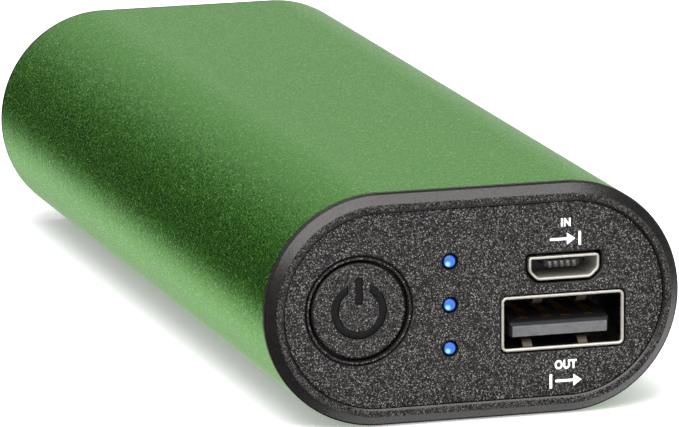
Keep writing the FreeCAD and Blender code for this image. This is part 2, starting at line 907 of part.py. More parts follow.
prism(mark_ring, "ring", "XZ", from_front(button_face), from_front(mark_foot), mark_circle)
prism(mark_ring, "opening", "XZ", from_front(button_face - size.overrun),
      from_front(mark_foot + size.overrun), mark_gap, cut=True)
mark_bar = block("mark_bar", button_x - size.mark_stroke / 2, button_x + size.mark_stroke / 2,
                 from_front(button_face), from_front(mark_foot), button_z + size.mark_bar_foot,
                 button_z + size.mark_bar_foot + size.mark_bar_length)
button_mark = group("button_mark", [mark_ring, mark_bar])
pieces.append(cut_from("power_button", button_blank, button_mark))
pieces.append(button_mark)

# Push switch: plastic base on the switch board, metal cover, sliding plunger and the
# snap dome under it.

plunger_tip = stem_end + size.plunger_gap
cover_front = plunger_tip + size.plunger_proud
base_front = cover_front + size.switch_cover_thickness
switch_board_front = base_front + size.switch_height
switch_board_back = switch_board_front + size.switch_board_thickness
well_floor = base_front + size.switch_well_depth
plunger_flange_radius = size.plunger_radius + size.plunger_flange_lip
switch_well_radius = plunger_flange_radius + size.switch_well_slack
dome_radius = switch_well_radius - size.dome_side_gap
plunger_flange_front = base_front + size.plunger_top_gap
plunger_flange_back = plunger_flange_front + size.plunger_flange_thickness
half_switch = size.switch_width / 2

switch_base = new_body("switch_base", button_x, button_z)
prism(switch_base, "base", "XZ", from_front(base_front), from_front(switch_board_front),
      lambda sketch: draw_box(sketch, -half_switch, half_switch, -half_switch, half_switch))
prism(switch_base, "well", "XZ", from_front(cover_front), from_front(well_floor),
      lambda sketch: draw_circle(sketch, ZERO, ZERO, switch_well_radius), cut=True)
pieces.append(switch_base)

switch_cover = new_body("switch_cover", button_x, button_z)


def cover_outline(sketch):
    draw_box(sketch, -half_switch, half_switch, -half_switch, half_switch)
    draw_circle(sketch, ZERO, ZERO, size.plunger_radius + size.plunger_slack)


prism(switch_cover, "plate", "XZ", from_front(cover_front), from_front(base_front), cover_outline)
pieces.append(switch_cover)

switch_plunger = new_body("switch_plunger", button_x, button_z)
nub_end = well_floor - size.dome_height - size.dome_gap
plunger_outline = [
    (ZERO, plunger_tip),
    (size.plunger_radius, plunger_tip),
    (size.plunger_radius, plunger_flange_front),
    (plunger_flange_radius, plunger_flange_front),
    (plunger_flange_radius, plunger_flange_back),
    (size.plunger_nub_radius, plunger_flange_back),
    (size.plunger_nub_radius, nub_end),
    (ZERO, nub_end),
]
turned(switch_plunger, "plunger", [(radius, from_front(depth)) for radius, depth in plunger_outline])
pieces.append(switch_plunger)

switch_dome = new_body("switch_dome", button_x, button_z)
dome_top = well_floor - size.dome_height
dome_outline = [
    (ZERO, dome_top),
    (size.dome_crown_radius, dome_top),
    (dome_radius, well_floor - size.dome_thickness),
    (dome_radius, well_floor),
    (dome_radius - size.dome_thickness, well_floor),
    (size.dome_crown_radius, dome_top + size.dome_thickness),
    (ZERO, dome_top + size.dome_thickness),
]
turned(switch_dome, "dome", [(radius, from_front(depth)) for radius, depth in dome_outline])
pieces.append(switch_dome)

# Switch board: a small upright board that carries the switch and the three lights.

switch_board = new_body("switch_board")
switch_board_half = size.led_pitch + size.switch_board_edge
switch_board_low = mid_z - switch_board_half
switch_board_high = mid_z + switch_board_half
prism(switch_board, "board", "XZ", from_front(switch_board_front), from_front(switch_board_back),
      lambda sketch: draw_box(sketch, button_x - size.switch_board_left, led_x + size.switch_board_right,
                              switch_board_low, switch_board_high))
pieces.append(switch_board)

led_front = switch_board_front - size.led_height
leds = [block(f"led_{number}", led_x - size.led_length / 2, led_x + size.led_length / 2,
              from_front(led_front), from_front(switch_board_front),
              height - size.led_width / 2, height + size.led_width / 2)
        for number, height in enumerate(led_heights, start=1)]
pieces.append(group("indicator_leds", leds))

# Light guide: clear acrylic rail glued behind the panel, with three pipes that end in
# the panel's light holes and reach back to the lamps.

light_guide = new_body("light_guide")
pipe_radius = size.led_hole_radius - size.lens_clearance
lens_face = size.panel_recess + size.lens_sink
pipe_end = led_front - size.led_light_gap


def rail_outline(sketch):
    half = size.rail_width / 2
    reach = size.led_pitch + size.rail_overhang
    draw_box(sketch, led_x - half, led_x + half, led_z - reach, led_z + reach)


def pipe_outlines(sketch):
    for height in led_heights:
        draw_circle(sketch, led_x, height, pipe_radius)


rail_back = panel_back + size.rail_thickness
prism(light_guide, "rail", "XZ", from_front(panel_back), from_front(rail_back), rail_outline)
prism(light_guide, "pipes", "XZ", from_front(lens_face), from_front(pipe_end), pipe_outlines)
pieces.append(light_guide)

# Charging board: one flat circuit board, notched at the front left for the switch board.

board_right = body_width / 2 - bay_inset - size.board_side_gap
board_left = -board_right
board_front = from_front(floor_back + size.board_front_gap)
board_rear = from_front(size.front_bay - size.board_rear_gap)
notch_back = from_front(switch_board_back + size.board_notch_gap)
notch_right = led_x + size.switch_board_right + size.board_notch_side
board_screw_y = board_rear - size.board_screw_setback
board_screw_x = body_width / 2 - body_height / 2 + size.board_screw_out
board_screw_places = (-board_screw_x, board_screw_x)

main_board = new_body("main_board")


def board_outline(sketch):
    draw_polygon(sketch, [
        (notch_right, board_front),
        (board_right, board_front),
        (board_right, board_rear),
        (board_left, board_rear),
        (board_left, notch_back),
        (notch_right, notch_back),
    ])


def board_holes(sketch):
    for across in board_screw_places:
        draw_circle(sketch, across, board_screw_y, size.board_screw_radius + size.screw_slack)


prism(main_board, "board", "XY", board_low, board_high, board_outline)
prism(main_board, "screw_holes", "XY", board_low - size.overrun, board_high + size.overrun,
      board_holes, cut=True)
pieces.append(main_board)

board_screws = []
for number, across in enumerate(board_screw_places, start=1):
    head = peg(f"board_screw_head_{number}", across, board_screw_y, board_high,
               board_high + size.board_screw_head_height, size.board_screw_head_radius)
    shank = peg(f"board_screw_shank_{number}", across, board_screw_y,
                board_high - size.board_screw_length, board_high, size.board_screw_radius)
    screw = doc.addObject("Part::Fuse", f"board_screw_{number}")
    screw.Base = head
    screw.Tool = shank
    board_screws.append(screw)
pieces.append(group("board_screws", board_screws))

# Link pins: four bent pins that join the switch board to the charging board.

link_high = board_high + size.link_rise + size.link_width
link_tip = notch_back + size.link_reach
link_pins = []
for number in range(4):
    pin_left = led_x - size.link_side - size.link_pitch * number
    pin = new_body(f"link_pin_{number + 1}")
    start = from_front(switch_board_back)
    points = [
        (start, link_high - size.link_width),
        (link_tip - size.link_width, link_high - size.link_width),
        (link_tip - size.link_width, board_high),
        (link_tip, board_high),
        (link_tip, link_high),
        (start, link_high),
    ]
    prism(pin, "pin", "YZ", pin_left, pin_left + size.link_width,
          lambda sketch: draw_polygon(sketch, points))
    link_pins.append(pin)
pieces.append(group("board_link_pins", link_pins))

# Output port: folded steel shell with four inward springs, an insulator with the broad
# tongue, and four contacts whose tails stand up to the board above.

usb_back = port_face + size.usb_depth
usb_shell = new_body("usb_a_shell")


def usb_section(sketch):
    draw_usb(sketch, ZERO)
    draw_usb(sketch, -size.usb_wall)


prism(usb_shell, "tube", "XZ", from_front(port_face), from_front(usb_back), usb_section)
prism(usb_shell, "back", "XZ", from_front(usb_back - size.usb_wall), from_front(usb_back),
      lambda sketch: draw_usb(sketch, ZERO))
tail_half = size.usb_contact_outer_pitch / 2 + size.usb_contact_width / 2 + size.usb_tail_slack
tail_back = usb_back - size.usb_tail_setback
tail_front = tail_back - size.usb_contact_thickness
tail_low = board_low - size.usb_wall - size.usb_tail_slack
prism(usb_shell, "tail_opening", "XZ", from_front(tail_front - size.usb_tail_slack),
      from_front(tail_back + size.usb_tail_slack),
      lambda sketch: draw_box(sketch, port_x - tail_half, port_x + tail_half, tail_low,
                              board_low + size.overrun), cut=True)
spring_start = port_face + size.usb_spring_start
spring_end = spring_start + size.usb_spring_length
spring_top = spring_start + size.usb_spring_length / 2
for side in (-1, 1):
    spring_x = port_x + side * size.usb_spring_pitch / 2 - size.usb_spring_width / 2
    for wall, inward in ((usb_low + size.usb_wall, 1), (board_low - size.usb_wall, -1)):
        root = wall - inward * size.usb_wall * ROOT_SHARE
        tip = wall + inward * size.usb_spring_height
        spring = [
            (from_front(spring_start), root),
            (from_front(spring_start), wall),
            (from_front(spring_top), tip),
            (from_front(spring_end), wall),
            (from_front(spring_end), root),
        ]
        prism(usb_shell, "spring", "YZ", spring_x, spring_x + size.usb_spring_width,
              lambda sketch: draw_polygon(sketch, spring))
pieces.append(usb_shell)

tongue_low = usb_low + size.usb_wall + size.usb_tongue_below
tongue_high = tongue_low + size.usb_tongue_thickness
tongue_front = port_face + size.usb_tongue_recess
block_front = tongue_front + size.usb_tongue_length
block_back = usb_back - size.usb_wall - size.usb_block_slack

usb_contacts = []
contact_places = (-size.usb_contact_outer_pitch / 2, -size.usb_contact_inner_pitch / 2,
                  size.usb_contact_inner_pitch / 2, size.usb_contact_outer_pitch / 2)
for number, offset in enumerate(contact_places, start=1):
    contact = new_body(f"usb_a_contact_{number}")
    contact_high = tongue_high + size.usb_contact_thickness
    points = [
        (from_front(tongue_front + size.usb_contact_setback), tongue_high),
        (from_front(tail_back), tongue_high),
        (from_front(tail_back), board_low),
        (from_front(tail_front), board_low),
        (from_front(tail_front), contact_high),
        (from_front(tongue_front + size.usb_contact_setback), contact_high),
    ]
    contact_left = port_x + offset - size.usb_contact_width / 2
    prism(contact, "strip", "YZ", contact_left, contact_left + size.usb_contact_width,
          lambda sketch: draw_polygon(sketch, points))
    usb_contacts.append(contact)
usb_contact_group = group("usb_a_contacts", usb_contacts)

usb_blank = new_body("usb_a_insulator_blank")
tongue_half = size.usb_width / 2 - size.usb_wall - size.usb_tongue_side
prism(usb_blank, "tongue", "XZ", from_front(tongue_front), from_front(block_back),
      lambda sketch: draw_box(sketch, port_x - tongue_half, port_x + tongue_half, tongue_low, tongue_high))
eased(usb_blank, "tongue_chamfer", "Chamfer", size.usb_tongue_chamfer,
      lambda edge: lies_at(edge, from_front(tongue_front)))
block_inset = size.usb_wall + size.usb_block_slack
prism(usb_blank, "block", "XZ", from_front(block_front), from_front(block_back),
      lambda sketch: draw_usb(sketch, -block_inset))
pieces.append(cut_from("usb_a_insulator", usb_blank, usb_contact_group))
pieces.append(usb_contact_group)

# Input port: the small one above the board, wide side up, with its own insulator and
# five contacts under the tongue.

micro_back = port_face + size.micro_depth
micro_shell = new_body("micro_usb_shell")


def micro_section(sketch):
    draw_micro(sketch, ZERO)
    draw_micro(sketch, -size.micro_wall)


prism(micro_shell, "tube", "XZ", from_front(port_face), from_front(micro_back), micro_section)
pieces.append(micro_shell)

micro_tongue_high = micro_high - size.micro_wall - size.micro_tongue_above
micro_tongue_low = micro_tongue_high - size.micro_tongue_thickness
micro_tongue_front = port_face + size.micro_tongue_recess
micro_block_front = micro_tongue_front + size.micro_tongue_length
micro_contact_low = micro_tongue_low - size.micro_contact_thickness
micro_contacts = []
for number in range(5):
    contact = new_body(f"micro_usb_contact_{number + 1}")
    contact_left = micro_x + size.micro_contact_pitch * (number - 2) - size.micro_contact_width / 2
    tail = micro_back + size.micro_tail_length
    points = [
        (from_front(micro_tongue_front + size.micro_contact_setback), micro_contact_low),
        (from_front(tail - size.micro_contact_thickness), micro_contact_low),
        (from_front(tail - size.micro_contact_thickness), board_high),
        (from_front(tail), board_high),
        (from_front(tail), micro_tongue_low),
        (from_front(micro_tongue_front + size.micro_contact_setback), micro_tongue_low),
    ]
    prism(contact, "strip", "YZ", contact_left, contact_left + size.micro_contact_width,
          lambda sketch: draw_polygon(sketch, points))
    micro_contacts.append(contact)
micro_contact_group = group("micro_usb_contacts", micro_contacts)

micro_blank = new_body("micro_usb_insulator_blank")
prism(micro_blank, "tongue", "XZ", from_front(micro_tongue_front), from_front(micro_back),
      lambda sketch: draw_box(sketch, micro_x - size.micro_tongue_width / 2,
                              micro_x + size.micro_tongue_width / 2, micro_tongue_low, micro_tongue_high))
prism(micro_blank, "block", "XZ", from_front(micro_block_front), from_front(micro_back),
      lambda sketch: draw_micro(sketch, -size.micro_wall - size.micro_block_slack))
pieces.append(cut_from("micro_usb_insulator", micro_blank, micro_contact_group))
pieces.append(micro_contact_group)

# Parts on the charging board, between the link pins and the board's rear edge.

parts_room = board_rear - link_tip
half_controller = size.controller_width / 2
controller_y = link_tip + parts_room * CONTROLLER_SHARE
pieces.append(block("charge_controller", size.controller_side - half_controller,
                    size.controller_side + half_controller, controller_y - half_controller,
                    controller_y + half_controller, board_high, board_high + size.controller_height))

half_inductor = size.inductor_width / 2
inductor_y = link_tip + parts_room * INDUCTOR_SHARE
inductor_left = size.inductor_side - half_inductor
inductor_right = size.inductor_side + half_inductor
inductor = new_body("power_inductor")
prism(inductor, "core", "XY", board_high, board_high + size.inductor_height,
      lambda sketch: draw_round_box(sketch, inductor_left, inductor_right, inductor_y - half_inductor,
                                    inductor_y + half_inductor, size.inductor_corner))
pieces.append(inductor)

transistors = []
transistor_top = board_high + size.transistor_height
for row in (-1, 0):
    for column in (0, 1):
        left = board_right - size.transistor_margin + size.transistor_pitch * column
        front = link_tip + parts_room * TRANSISTOR_SHARE + size.transistor_pitch * row
        transistors.append(block("transistor", left, left + size.transistor_length, front,
                                 front + size.transistor_width, board_high, transistor_top))
pieces.append(group("power_transistors", transistors))

capacitors = []
capacitor_left = board_left + size.capacitor_margin
capacitor_top = board_high + size.capacitor_height
for row in (-1, 0, 1):
    front = link_tip + parts_room * CAPACITOR_SHARE + size.capacitor_pitch * row
    capacitors.append(block("capacitor", capacitor_left, capacitor_left + size.capacitor_length, front,
                            front + size.capacitor_width, board_high, capacitor_top))
pieces.append(group("filter_capacitors", capacitors))

# Chassis: two moulded half shells that close round the boards and the cells and slide
# into the sleeve as one cartridge.

chassis_end = skirt_end + size.chassis_gap
cell_front = size.front_bay
cell_rear = cell_front + size.cell_length
pocket_front = cell_front - size.cell_end_gap
bay_end = pocket_front - size.bulkhead
pocket_rear = size.rear_bay - size.cell_end_gap
boss_end = floor_back + size.boss_length
pilot_end = screw_end + size.pilot_spare
lead_z = mid_z + size.lead_lift
lead_room = size.lead_radius + size.lead_channel_slack
tab_half = cell_x + size.tab_overhang
tab_reach = size.lead_lift + size.lead_radius + size.tab_lead_margin
opening_half = tab_half + size.opening_side_gap
opening_reach = size.lead_lift + size.lead_radius + size.opening_lead_gap
film_half = body_width / 2 - body_height / 2 - size.film_edge
heater_lead_x = film_half - size.heater_lead_margin
heater_lead_y = board_rear - size.heater_lead_setback
positive_x = heater_lead_x - size.positive_lead_gap
slot_front = switch_board_front - size.slot_gap
slot_back = switch_board_back + size.slot_gap


def chassis_half(name, up):
    """Makes the upper half for up = 1 and the lower half for up = -1."""
    half = new_body(name)

    def height(offset):
        return mid_z + up * offset

    def slab(sketch, left, right, near, far):
        low, high = sorted((height(near), height(far)), key=lambda end: end.number)
        draw_box(sketch, left, right, low, high)

    half_height = body_height / 2
    half_width = body_width / 2
    boss_z = height(screw_reach)
    prism(half, "shell", "XZ", from_front(chassis_end), from_rear(chassis_end),
          lambda sketch: draw_oval(sketch, chassis_inset))
    outside = chassis_end - size.overrun
    prism(half, "parting", "XZ", from_front(outside), from_rear(outside),
          lambda sketch: slab(sketch, -half_width, half_width, ZERO, -half_height), cut=True)
    prism(half, "bay", "XZ", from_front(outside), from_front(bay_end),
          lambda sketch: draw_oval(sketch, bay_inset), cut=True)

    def tab_room(sketch):
        slab(sketch, -opening_half, opening_half, -half_height, opening_reach)

    prism(half, "tab_opening", "XZ", from_front(bay_end - size.overrun),
          from_front(pocket_front + size.overrun), tab_room, cut=True)
    prism(half, "rear_tab_relief", "XZ", from_front(cell_rear - size.overrun), from_rear(pocket_rear),
          tab_room, cut=True)
    for side in (-1, 1):
        prism(half, "cell_pocket", "XZ", from_front(pocket_front), from_rear(pocket_rear),
              lambda sketch: draw_circle(sketch, side * cell_x, mid_z, pocket_radius), cut=True)
    if up > 0:
        prism(half, "lead_channel", "XZ", from_front(pocket_front), from_rear(pocket_rear),
              lambda sketch: draw_circle(sketch, ZERO, lead_z, lead_room), cut=True)
        prism(half, "channel_mouth", "XZ", from_front(pocket_front), from_rear(pocket_rear),
              lambda sketch: draw_box(sketch, -lead_room, lead_room, mid_z, lead_z), cut=True)
    prism(half, "front_boss", "XZ", from_front(floor_back), from_front(boss_end),
          lambda sketch: draw_circle(sketch, screw_x, boss_z, size.boss_radius))
    rib = size.boss_rib_width / 2
    pilot_radius = size.screw_shank_radius + size.screw_fit
    prism(half, "boss_rib", "XZ", from_front(chassis_end), from_front(boss_end),
          lambda sketch: slab(sketch, screw_x - rib, screw_x + rib, screw_reach, half_height - bay_root))
    prism(half, "rear_boss", "XZ", from_rear(floor_back), from_rear(chassis_end),
          lambda sketch: draw_circle(sketch, screw_x, boss_z, size.boss_radius))
    for pilot, depth_to_y in (("front_pilot", from_front), ("rear_pilot", from_rear)):
        prism(half, pilot, "XZ", depth_to_y(floor_back - size.overrun), depth_to_y(pilot_end),
              lambda sketch: draw_circle(sketch, screw_x, boss_z, pilot_radius), cut=True)
    cheek = size.slot_rib_width / 2
    grip = switch_board_half - size.slot_grip
    slot_foot = switch_board_half + size.slot_gap
    prism(half, "board_rib", "XZ", from_front(slot_front - size.slot_cheek),
          from_front(slot_back + size.slot_cheek),
          lambda sketch: slab(sketch, button_x - cheek, button_x + cheek, grip, half_height - bay_root))
    prism(half, "board_slot", "XZ", from_front(slot_front), from_front(slot_back),
          lambda sketch: slab(sketch, button_x - half_width, button_x + half_width, ZERO, slot_foot),
          cut=True)
    windows = (-heater_lead_x, heater_lead_x) if up > 0 else (-heater_lead_x,)
    for across in windows:
        prism(half, "lead_window", "XZ", heater_lead_y - size.window_length / 2,
              heater_lead_y + size.window_length / 2,
              lambda sketch: slab(sketch, across - size.window_width / 2, across + size.window_width / 2,
                                  half_height - bay_inset - size.overrun, half_height), cut=True)
    return half


chassis_lower = chassis_half("chassis_lower", -1)


def post_outlines(sketch):
    for across in board_screw_places:
        draw_circle(sketch, across, board_screw_y, size.post_radius)


def post_pilots(sketch):
    for across in board_screw_places:
        draw_circle(sketch, across, board_screw_y, size.board_screw_radius + size.screw_fit)


prism(chassis_lower, "board_posts", "XY", bay_root, board_low, post_outlines)
prism(chassis_lower, "post_pilots", "XY", board_low + size.overrun,
      board_high - size.board_screw_length - size.post_pilot_spare, post_pilots, cut=True)
pieces.append(chassis_lower)
pieces.append(chassis_half("chassis_upper", 1))

# Cells: two round lithium cells side by side, positive ends to the front, each in a
# shrink wrap, with a paper ring on the positive end. Nickel strips join them.

can_radius = size.cell_radius - size.wrap_thickness - size.wrap_clearance
can_front = cell_front + size.cap_height
for side, word in ((-1, "left"), (1, "right")):
    can = new_body("cell_can_" + word, side * cell_x, mid_z)
    groove = can_front + size.crimp_setback
    can_outline = [
        (ZERO, cell_front),
        (size.cap_radius, cell_front),
        (size.cap_radius, can_front),
        (can_radius - size.cell_edge_round, can_front),
        (can_radius, can_front + size.cell_edge_round),
        (can_radius, groove),
        (can_radius - size.crimp_depth, groove + size.crimp_width / 2),
        (can_radius, groove + size.crimp_width),
        (can_radius, cell_rear - size.cell_edge_round),
        (can_radius - size.cell_edge_round, cell_rear),
        (ZERO, cell_rear),
    ]
    turned(can, "can", [(radius, from_front(depth)) for radius, depth in can_outline])
    pieces.append(can)
    wrap = new_body("cell_wrap_" + word, side * cell_x, mid_z)
    wrap_inner = size.cell_radius - size.wrap_thickness
    wrap_outline = [
        (wrap_inner, can_front),
        (wrap_inner, cell_rear),
        (size.cell_radius, cell_rear),
        (size.cell_radius, can_front),
    ]
    turned(wrap, "wrap", [(radius, from_front(depth)) for radius, depth in wrap_outline])
    pieces.append(wrap)

insulators = []
for side in (-1, 1):
    paper = new_body("cell_insulator", side * cell_x, mid_z)

    def paper_outline(sketch):
        draw_circle(sketch, ZERO, ZERO, can_radius - size.insulator_edge)
        draw_circle(sketch, ZERO, ZERO, size.cap_radius + size.insulator_hole_slack)

    prism(paper, "ring", "XZ", from_front(can_front - size.insulator_thickness), from_front(can_front),
          paper_outline)
    insulators.append(paper)
pieces.append(group("cell_insulators", insulators))

tab_low = mid_z - tab_reach
tab_high = mid_z + tab_reach
front_tab = new_body("cell_tab_front")
prism(front_tab, "strip", "XZ", from_front(cell_front - size.tab_thickness), from_front(cell_front),
      lambda sketch: draw_box(sketch, -tab_half, tab_half, tab_low, tab_high))
prism(front_tab, "lead_notch", "XZ", from_front(cell_front - size.tab_thickness - size.overrun),
      from_front(cell_front + size.overrun),
      lambda sketch: draw_box(sketch, -lead_room, lead_room, lead_z - lead_room, tab_high + size.overrun),
      cut=True)
pieces.append(front_tab)
pieces.append(block("cell_tab_rear", -tab_half, tab_half, from_front(cell_rear),
                    from_front(cell_rear + size.tab_thickness), tab_low, tab_high))

# Battery leads: insulated wires from the strips, forward and down onto the board.

landing_y = board_rear - size.lead_landing
pieces.append(wire("battery_lead_negative", [
    (ZERO, from_front(cell_rear), lead_z),
    (ZERO, landing_y, lead_z),
    (ZERO, landing_y, board_high),
], size.lead_radius, size.lead_bend))
pieces.append(wire("battery_lead_positive", [
    (positive_x, from_front(cell_front - size.tab_thickness), lead_z),
    (positive_x, landing_y, lead_z),
    (positive_x, landing_y, board_high),
], size.lead_radius, size.lead_bend))

# Heater films: thin polyimide films stuck to the inside of the sleeve's two flats, each
# with two leads through a window in the chassis. A thermistor rests on the upper film.

film_front = from_front(cell_front - size.film_front_reach)
film_rear = from_front(cell_rear)
film_low_top = size.sleeve_wall + size.film_thickness
film_high_foot = body_height - film_low_top
pieces.append(block("heater_film_bottom", -film_half, film_half, film_front, film_rear,
                    size.sleeve_wall, film_low_top))
pieces.append(block("heater_film_top", -film_half, film_half, film_front, film_rear,
                    film_high_foot, body_height - size.sleeve_wall))

heater_ends = {"bottom": (film_low_top, board_low, 1), "top": (film_high_foot, board_high, -1)}
for word, (film_z, board_z, toward) in heater_ends.items():
    leads = []
    ahead = heater_lead_y - size.heater_lead_jog
    for side in (-1, 1):
        across = side * size.heater_lead_pitch / 2 - heater_lead_x
        leads.append(wire(f"heater_lead_{word}", [
            (across, heater_lead_y, film_z),
            (across, heater_lead_y, film_z + toward * size.heater_lead_stub),
            (across, ahead, board_z - toward * size.heater_lead_stub),
            (across, ahead, board_z),
        ], size.heater_lead_radius, size.heater_lead_bend))
    pieces.append(group("heater_leads_" + word, leads))

bead_foot = film_high_foot - size.thermistor_height
bead = peg("thermistor_bead", heater_lead_x, heater_lead_y, bead_foot, film_high_foot,
           size.thermistor_radius)
legs = [peg("thermistor_leg", heater_lead_x + side * size.thermistor_leg_pitch / 2, heater_lead_y,
            board_high, bead_foot, size.thermistor_leg_radius) for side in (-1, 1)]
thermistor = doc.addObject("Part::MultiFuse", "thermistor")
thermistor.Shapes = [bead] + legs
pieces.append(thermistor)

# Check every feature, then write one file for each sub-part.

doc.recompute()
for item in doc.Objects:
    if "Invalid" in item.State or "Error" in item.State:
        raise ValueError(item.Name + " has not been built: " + ", ".join(item.State))
os.makedirs("parts", exist_ok=True)
for item in pieces:
    if item.Shape.isNull() or not item.Shape.isValid():
        raise ValueError(item.Label + " is not a sound shape")
    item.Shape.exportStep(f"parts/{item.Label}.step")
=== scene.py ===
import math

import bmesh
import bpy
from mathutils import Euler, Matrix, Vector


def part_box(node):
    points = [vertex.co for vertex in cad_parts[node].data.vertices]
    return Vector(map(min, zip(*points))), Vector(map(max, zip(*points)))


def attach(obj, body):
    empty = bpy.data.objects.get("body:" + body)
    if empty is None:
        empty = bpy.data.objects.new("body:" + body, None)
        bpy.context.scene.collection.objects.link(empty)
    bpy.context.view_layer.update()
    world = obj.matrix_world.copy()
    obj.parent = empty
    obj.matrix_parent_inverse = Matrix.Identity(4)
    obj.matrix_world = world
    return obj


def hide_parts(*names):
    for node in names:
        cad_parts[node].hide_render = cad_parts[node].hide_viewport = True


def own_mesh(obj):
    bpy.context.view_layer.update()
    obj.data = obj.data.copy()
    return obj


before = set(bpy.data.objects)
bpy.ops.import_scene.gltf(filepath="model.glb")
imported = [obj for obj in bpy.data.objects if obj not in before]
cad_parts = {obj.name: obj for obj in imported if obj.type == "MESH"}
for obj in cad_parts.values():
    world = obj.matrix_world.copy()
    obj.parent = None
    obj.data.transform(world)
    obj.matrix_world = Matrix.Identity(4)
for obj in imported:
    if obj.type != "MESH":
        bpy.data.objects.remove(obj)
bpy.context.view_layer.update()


# Cells: two round lithium cells side by side. Each is a deep-drawn, nickel-plated steel can in a
# printed shrink wrap, with a paper ring on its positive end. Nickel strips are spot-welded across
# the cans.

def plug(tree, node, inputs):
    """Joins a node's inputs where they are given as sockets and sets them where they are values."""
    for name, value in inputs.items():
        if isinstance(value, bpy.types.NodeSocket):
            tree.links.new(value, node.inputs[name])
        else:
            node.inputs[name].default_value = value


def add_node(tree, kind, inputs, **settings):
    """Adds a node with its settings and its inputs."""
    node = tree.nodes.new(kind)
    for name, value in settings.items():
        setattr(node, name, value)
    plug(tree, node, inputs)
    return node


def ramp(tree, value, start, end, first, last, **settings):
    """Takes a value that runs from start to end and lets it run from first to last."""
    return add_node(tree, "ShaderNodeMapRange", {
        "Value": value, "From Min": start, "From Max": end, "To Min": first, "To Max": last},
        **settings).outputs["Result"]


def mix_tones(tree, share, first, second):
    """Mixes two colours; a share of one gives the second colour alone."""
    return add_node(tree, "ShaderNodeMix", {0: share, 6: first, 7: second}, data_type="RGBA").outputs[2]


def start_group(name, inputs, outputs):
    """Starts a shader node group with named sockets and gives its tree and its two ends."""
    tree = bpy.data.node_groups.new(name, "ShaderNodeTree")
    for label, kind in inputs.items():
        tree.interface.new_socket(label, in_out="INPUT", socket_type="NodeSocket" + kind)
    for label, kind in outputs.items():
        tree.interface.new_socket(label, in_out="OUTPUT", socket_type="NodeSocket" + kind)
    return tree, tree.nodes.new("NodeGroupInput"), tree.nodes.new("NodeGroupOutput")


# Uneven tone: soft clouds with a finer grain in them, for colour, roughness and relief.
tone_group, tone_in, tone_out = start_group(
    "uneven_tone",
    {"Place": "Vector", "Scale": "Float", "First tone": "Color", "Second tone": "Color",
     "Roughness from": "Float", "Roughness to": "Float"},
    {"Tone": "Color", "Roughness": "Float", "Height": "Float"})
tone_clouds = add_node(tone_group, "ShaderNodeTexNoise", {
    "Vector": tone_in.outputs["Place"], "Scale": tone_in.outputs["Scale"], "Detail": 5.0,
    "Roughness": 0.62}).outputs["Fac"]
plug(tone_group, tone_out, {
    "Tone": mix_tones(tone_group, tone_clouds, tone_in.outputs["First tone"], tone_in.outputs["Second tone"]),
    "Roughness": ramp(tone_group, tone_clouds, 0.3, 0.7, tone_in.outputs["Roughness from"],
                      tone_in.outputs["Roughness to"]),
    "Height": tone_clouds})


def start_finish(name):
    """Starts a material and gives it with its tree, its shader and the piece's own coordinates."""
    material = bpy.data.materials.new(name)
    material.use_nodes = True
    tree = material.node_tree
    place = tree.nodes.new("ShaderNodeTexCoord").outputs["Object"]
    return material, tree, tree.nodes["Principled BSDF"], place


def add_relief(tree, shader, height, depth):
    """Raises a relief on a finish; depth is that of a height of one, in metres."""
    bump = add_node(tree, "ShaderNodeBump", {"Height": height, "Strength": 1.0, "Distance": depth})
    plug(tree, shader, {"Normal": bump.outputs["Normal"]})


def toned_finish(name, first, second, scale, rough, relief=0.0, **settings):
    """Makes a finish with uneven tone; relief is the depth of its grain in metres."""
    material, tree, shader, place = start_finish(name)
    tone = add_node(tree, "ShaderNodeGroup", {
        "Place": place, "Scale": scale, "First tone": (*first, 1), "Second tone": (*second, 1),
        "Roughness from": rough[0], "Roughness to": rough[1]}, node_tree=tone_group, name="tone")
    plug(tree, shader, {"Base Color": tone.outputs["Tone"], "Roughness": tone.outputs["Roughness"]})
    plug(tree, shader, {label.replace("_", " "): value for label, value in settings.items()})
    if relief:
        add_relief(tree, shader, tone.outputs["Height"], relief)
    return material


def dress(material, *nodes):
    """Puts a finish on pieces that come straight from the solids."""
    for node in nodes:
        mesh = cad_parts[node].data
        mesh.materials.clear()
        mesh.materials.append(material)


can_steel = toned_finish("plated_can_steel", (0.56, 0.55, 0.52), (0.66, 0.65, 0.62), 900, (0.22, 0.34),
                         2e-6, Metallic=1.0)
dress(can_steel, "cell_can_left", "cell_can_right")
shrink_wrap = toned_finish("cell_shrink_wrap", (0.04, 0.13, 0.24), (0.05, 0.16, 0.29), 350, (0.2, 0.3),
                           8e-6, Coat_Weight=0.25)
dress(shrink_wrap, "cell_wrap_left", "cell_wrap_right")
ring_paper = toned_finish("insulator_paper", (0.62, 0.6, 0.52), (0.72, 0.7, 0.63), 2600, (0.75, 0.9),
                          1.2e-5)
dress(ring_paper, "cell_insulators")
weld_nickel = toned_finish("weld_strip_nickel", (0.5, 0.48, 0.44), (0.6, 0.58, 0.54), 1500, (0.28, 0.42),
                           3e-6, Metallic=1.0)
dress(weld_nickel, "cell_tab_front", "cell_tab_rear")


# Chassis: two half shells moulded in dark grey plastic. They close round the cells, carry the
# boards and take the end screws.

shell_plastic = toned_finish("chassis_plastic", (0.035, 0.036, 0.038), (0.05, 0.051, 0.054), 1800,
                             (0.5, 0.62), 1.5e-5)
dress(shell_plastic, "chassis_lower", "chassis_upper")


# Leads: stranded copper in coloured insulation. They join the cells and the heater films to the
# charging board.

